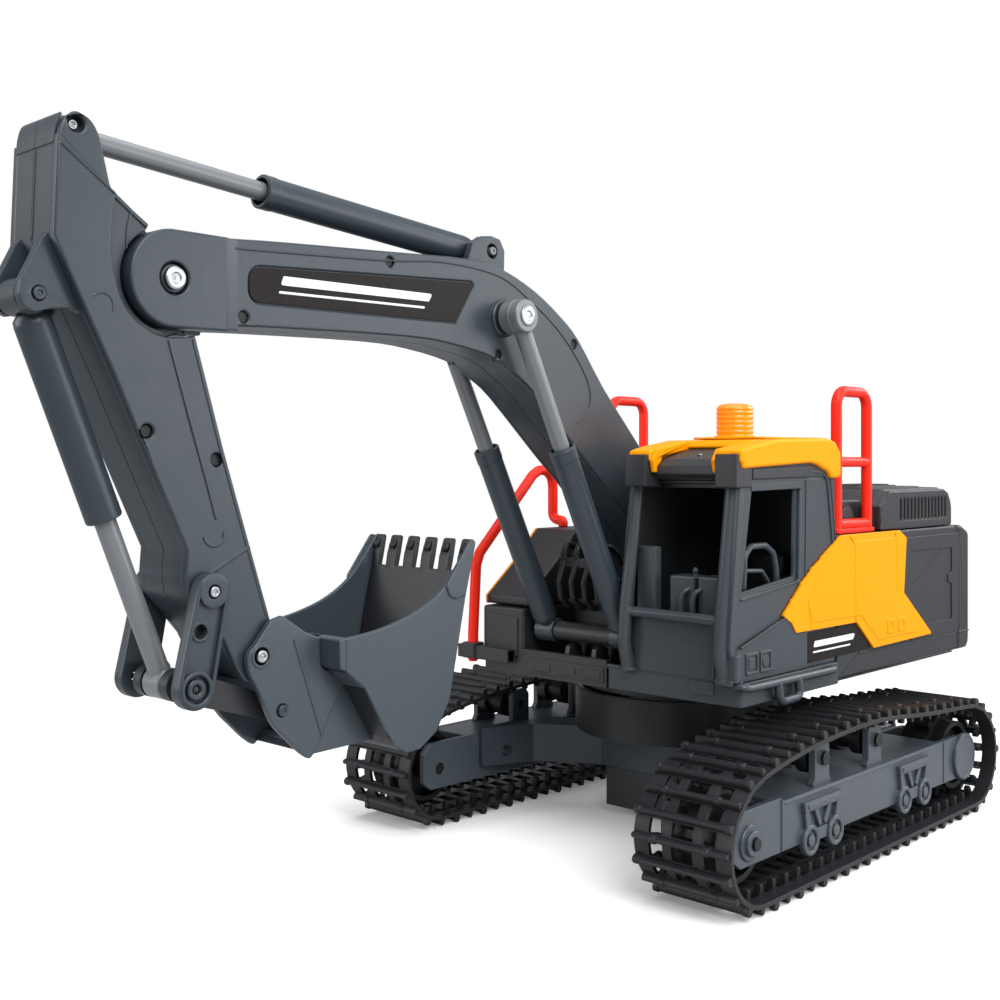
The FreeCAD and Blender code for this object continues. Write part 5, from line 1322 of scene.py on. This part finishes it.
def finish_cad():
    chosen = {node: key for key, names in CAD_NODES.items() for node in names.split()}
    for node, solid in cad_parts.items():
        wheel = any(word in node for word in ("sprocket", "idler", "roller"))
        key = chosen.get(node, "black_plastic" if wheel else "dark_plastic")
        solid.data.materials.clear()
        solid.data.materials.append(MATERIALS[key])
        weight_normals(solid)


# ---------------------------------------------------------------- stage
def floor():
    half, cells = 6.0, 24
    stops = [-half + 2 * half * (i / cells) for i in range(cells + 1)]
    mesh = bpy.data.meshes.new("floor")
    work = bmesh.new()
    grid = [[work.verts.new((x, y, 0.0)) for y in stops] for x in stops]
    for i in range(cells):
        for j in range(cells):
            work.faces.new((grid[i][j], grid[i + 1][j], grid[i + 1][j + 1], grid[i][j + 1]))
    work.to_mesh(mesh)
    work.free()
    ground = bpy.data.objects.new("floor", mesh)
    bpy.context.scene.collection.objects.link(ground)

    material = bpy.data.materials.new("floor_pale")
    node = node_maker(material)
    # near white to the camera, greyer in the light it bounces
    seen = node("BsdfDiffuse", {0: (0.96, 0.96, 0.96, 1)}).outputs[0]
    bounce = node("BsdfDiffuse", {0: (0.55, 0.55, 0.55, 1)}).outputs[0]
    lit = node("Emission", {1: 0.12}).outputs[0]
    bright = node("AddShader", {0: seen, 1: lit}).outputs[0]
    camera_ray = node("LightPath").outputs["Is Camera Ray"]
    pick = node("MixShader", {0: camera_ray, 1: bounce, 2: bright}).outputs[0]
    # the floor thins out with distance so that no horizon shows
    position = node("NewGeometry").outputs["Position"]
    distance = node("VectorMath", {0: position, 1: (0.1 + SLEW_X * MM, 0.0, 0.0)},
                    operation="DISTANCE").outputs["Value"]
    fade = node("MapRange", {"Value": distance, "From Min": 0.30, "From Max": 0.75},
                interpolation_type="SMOOTHSTEP").outputs["Result"]
    clear = node("BsdfTransparent").outputs[0]
    surface = node("MixShader", {0: fade, 1: pick, 2: clear}).outputs[0]
    node("OutputMaterial", {0: surface})
    mesh.materials.append(material)


def studio_world():
    """Soft cool light, seen as plain white by the camera."""
    world = bpy.data.worlds.new("studio")
    bpy.context.scene.world = world
    node = node_maker(world)
    light = node("Background", {"Color": (0.93, 0.95, 1.0, 1), "Strength": 0.45}).outputs[0]
    white = node("Background", {"Color": (1, 1, 1, 1), "Strength": 1.0}).outputs[0]
    camera_ray = node("LightPath").outputs["Is Camera Ray"]
    mix = node("MixShader", {0: camera_ray, 1: light, 2: white})
    node("OutputWorld", {0: mix.outputs[0]})


def area_light(name, location, target, size, watts):
    """A rectangular lamp aimed at target; places are metres from the slew axis."""
    light = bpy.data.lights.new(name, "AREA")
    light.shape = "RECTANGLE"
    light.size, light.size_y = size
    light.energy = watts
    lamp = bpy.data.objects.new(name, light)
    lamp.location = (location[0] + SLEW_X * MM, location[1], location[2])
    aim = Vector(target) - Vector(location)
    lamp.rotation_euler = aim.to_track_quat("-Z", "Y").to_euler()
    bpy.context.scene.collection.objects.link(lamp)


def lights():
    # name, location, target, size in metres, watts
    for row in (
        ("key", (0.55, 1.15, 1.15), (0.1, 0, 0.15), (1.2, 1.0), 22),
        ("front", (1.45, -0.75, 0.55), (0.1, 0, 0.15), (0.9, 0.9), 9),
        ("sheen", (-0.75, 1.3, 0.42), (0.15, 0, 0.15), (1.0, 0.8), 7),
        ("top", (0.1, 0.1, 1.7), (0.1, 0, 0.1), (1.6, 1.6), 16),
        ("rear", (-1.3, 0.5, 0.9), (0, 0, 0.2), (1.0, 0.8), 9),
    ):
        area_light(*row)


def camera():
    """Level view from the front left."""
    lens = bpy.data.cameras.new("camera")
    lens.lens = 45.43
    lens.sensor_width = 36
    lens.shift_y = -0.038
    lens.clip_start = 0.01
    lens.clip_end = 50
    viewer = bpy.data.objects.new("camera", lens)
    viewer.location = (0.636 + SLEW_X * MM, 0.4496, 0.213)
    viewer.rotation_euler = (radians(90), 0, radians(133.3))
    bpy.context.scene.collection.objects.link(viewer)
    bpy.context.scene.camera = viewer
    view = bpy.context.scene.view_settings
    view.view_transform = "Standard"
    view.look = "None"
    view.exposure = 0.0


for build in (
    belts, track_frames, slew_collar,
    boom, arm, rocker,
    bucket_sides, bucket_shell, bucket_teeth, bucket_ribs,
    cylinders, all_pins,
    rear_body, counterweight, hood, left_panel, right_panel, left_nameplate,
    cab_frame, cab_lining, roof_cap, roof_blocks, beacon, cab_seat, cab_consoles,
    rails, side_step, hoses, front_box,
    finish_cad, floor, studio_world, lights, camera,
):
    build()

bpy.context.view_layer.update()
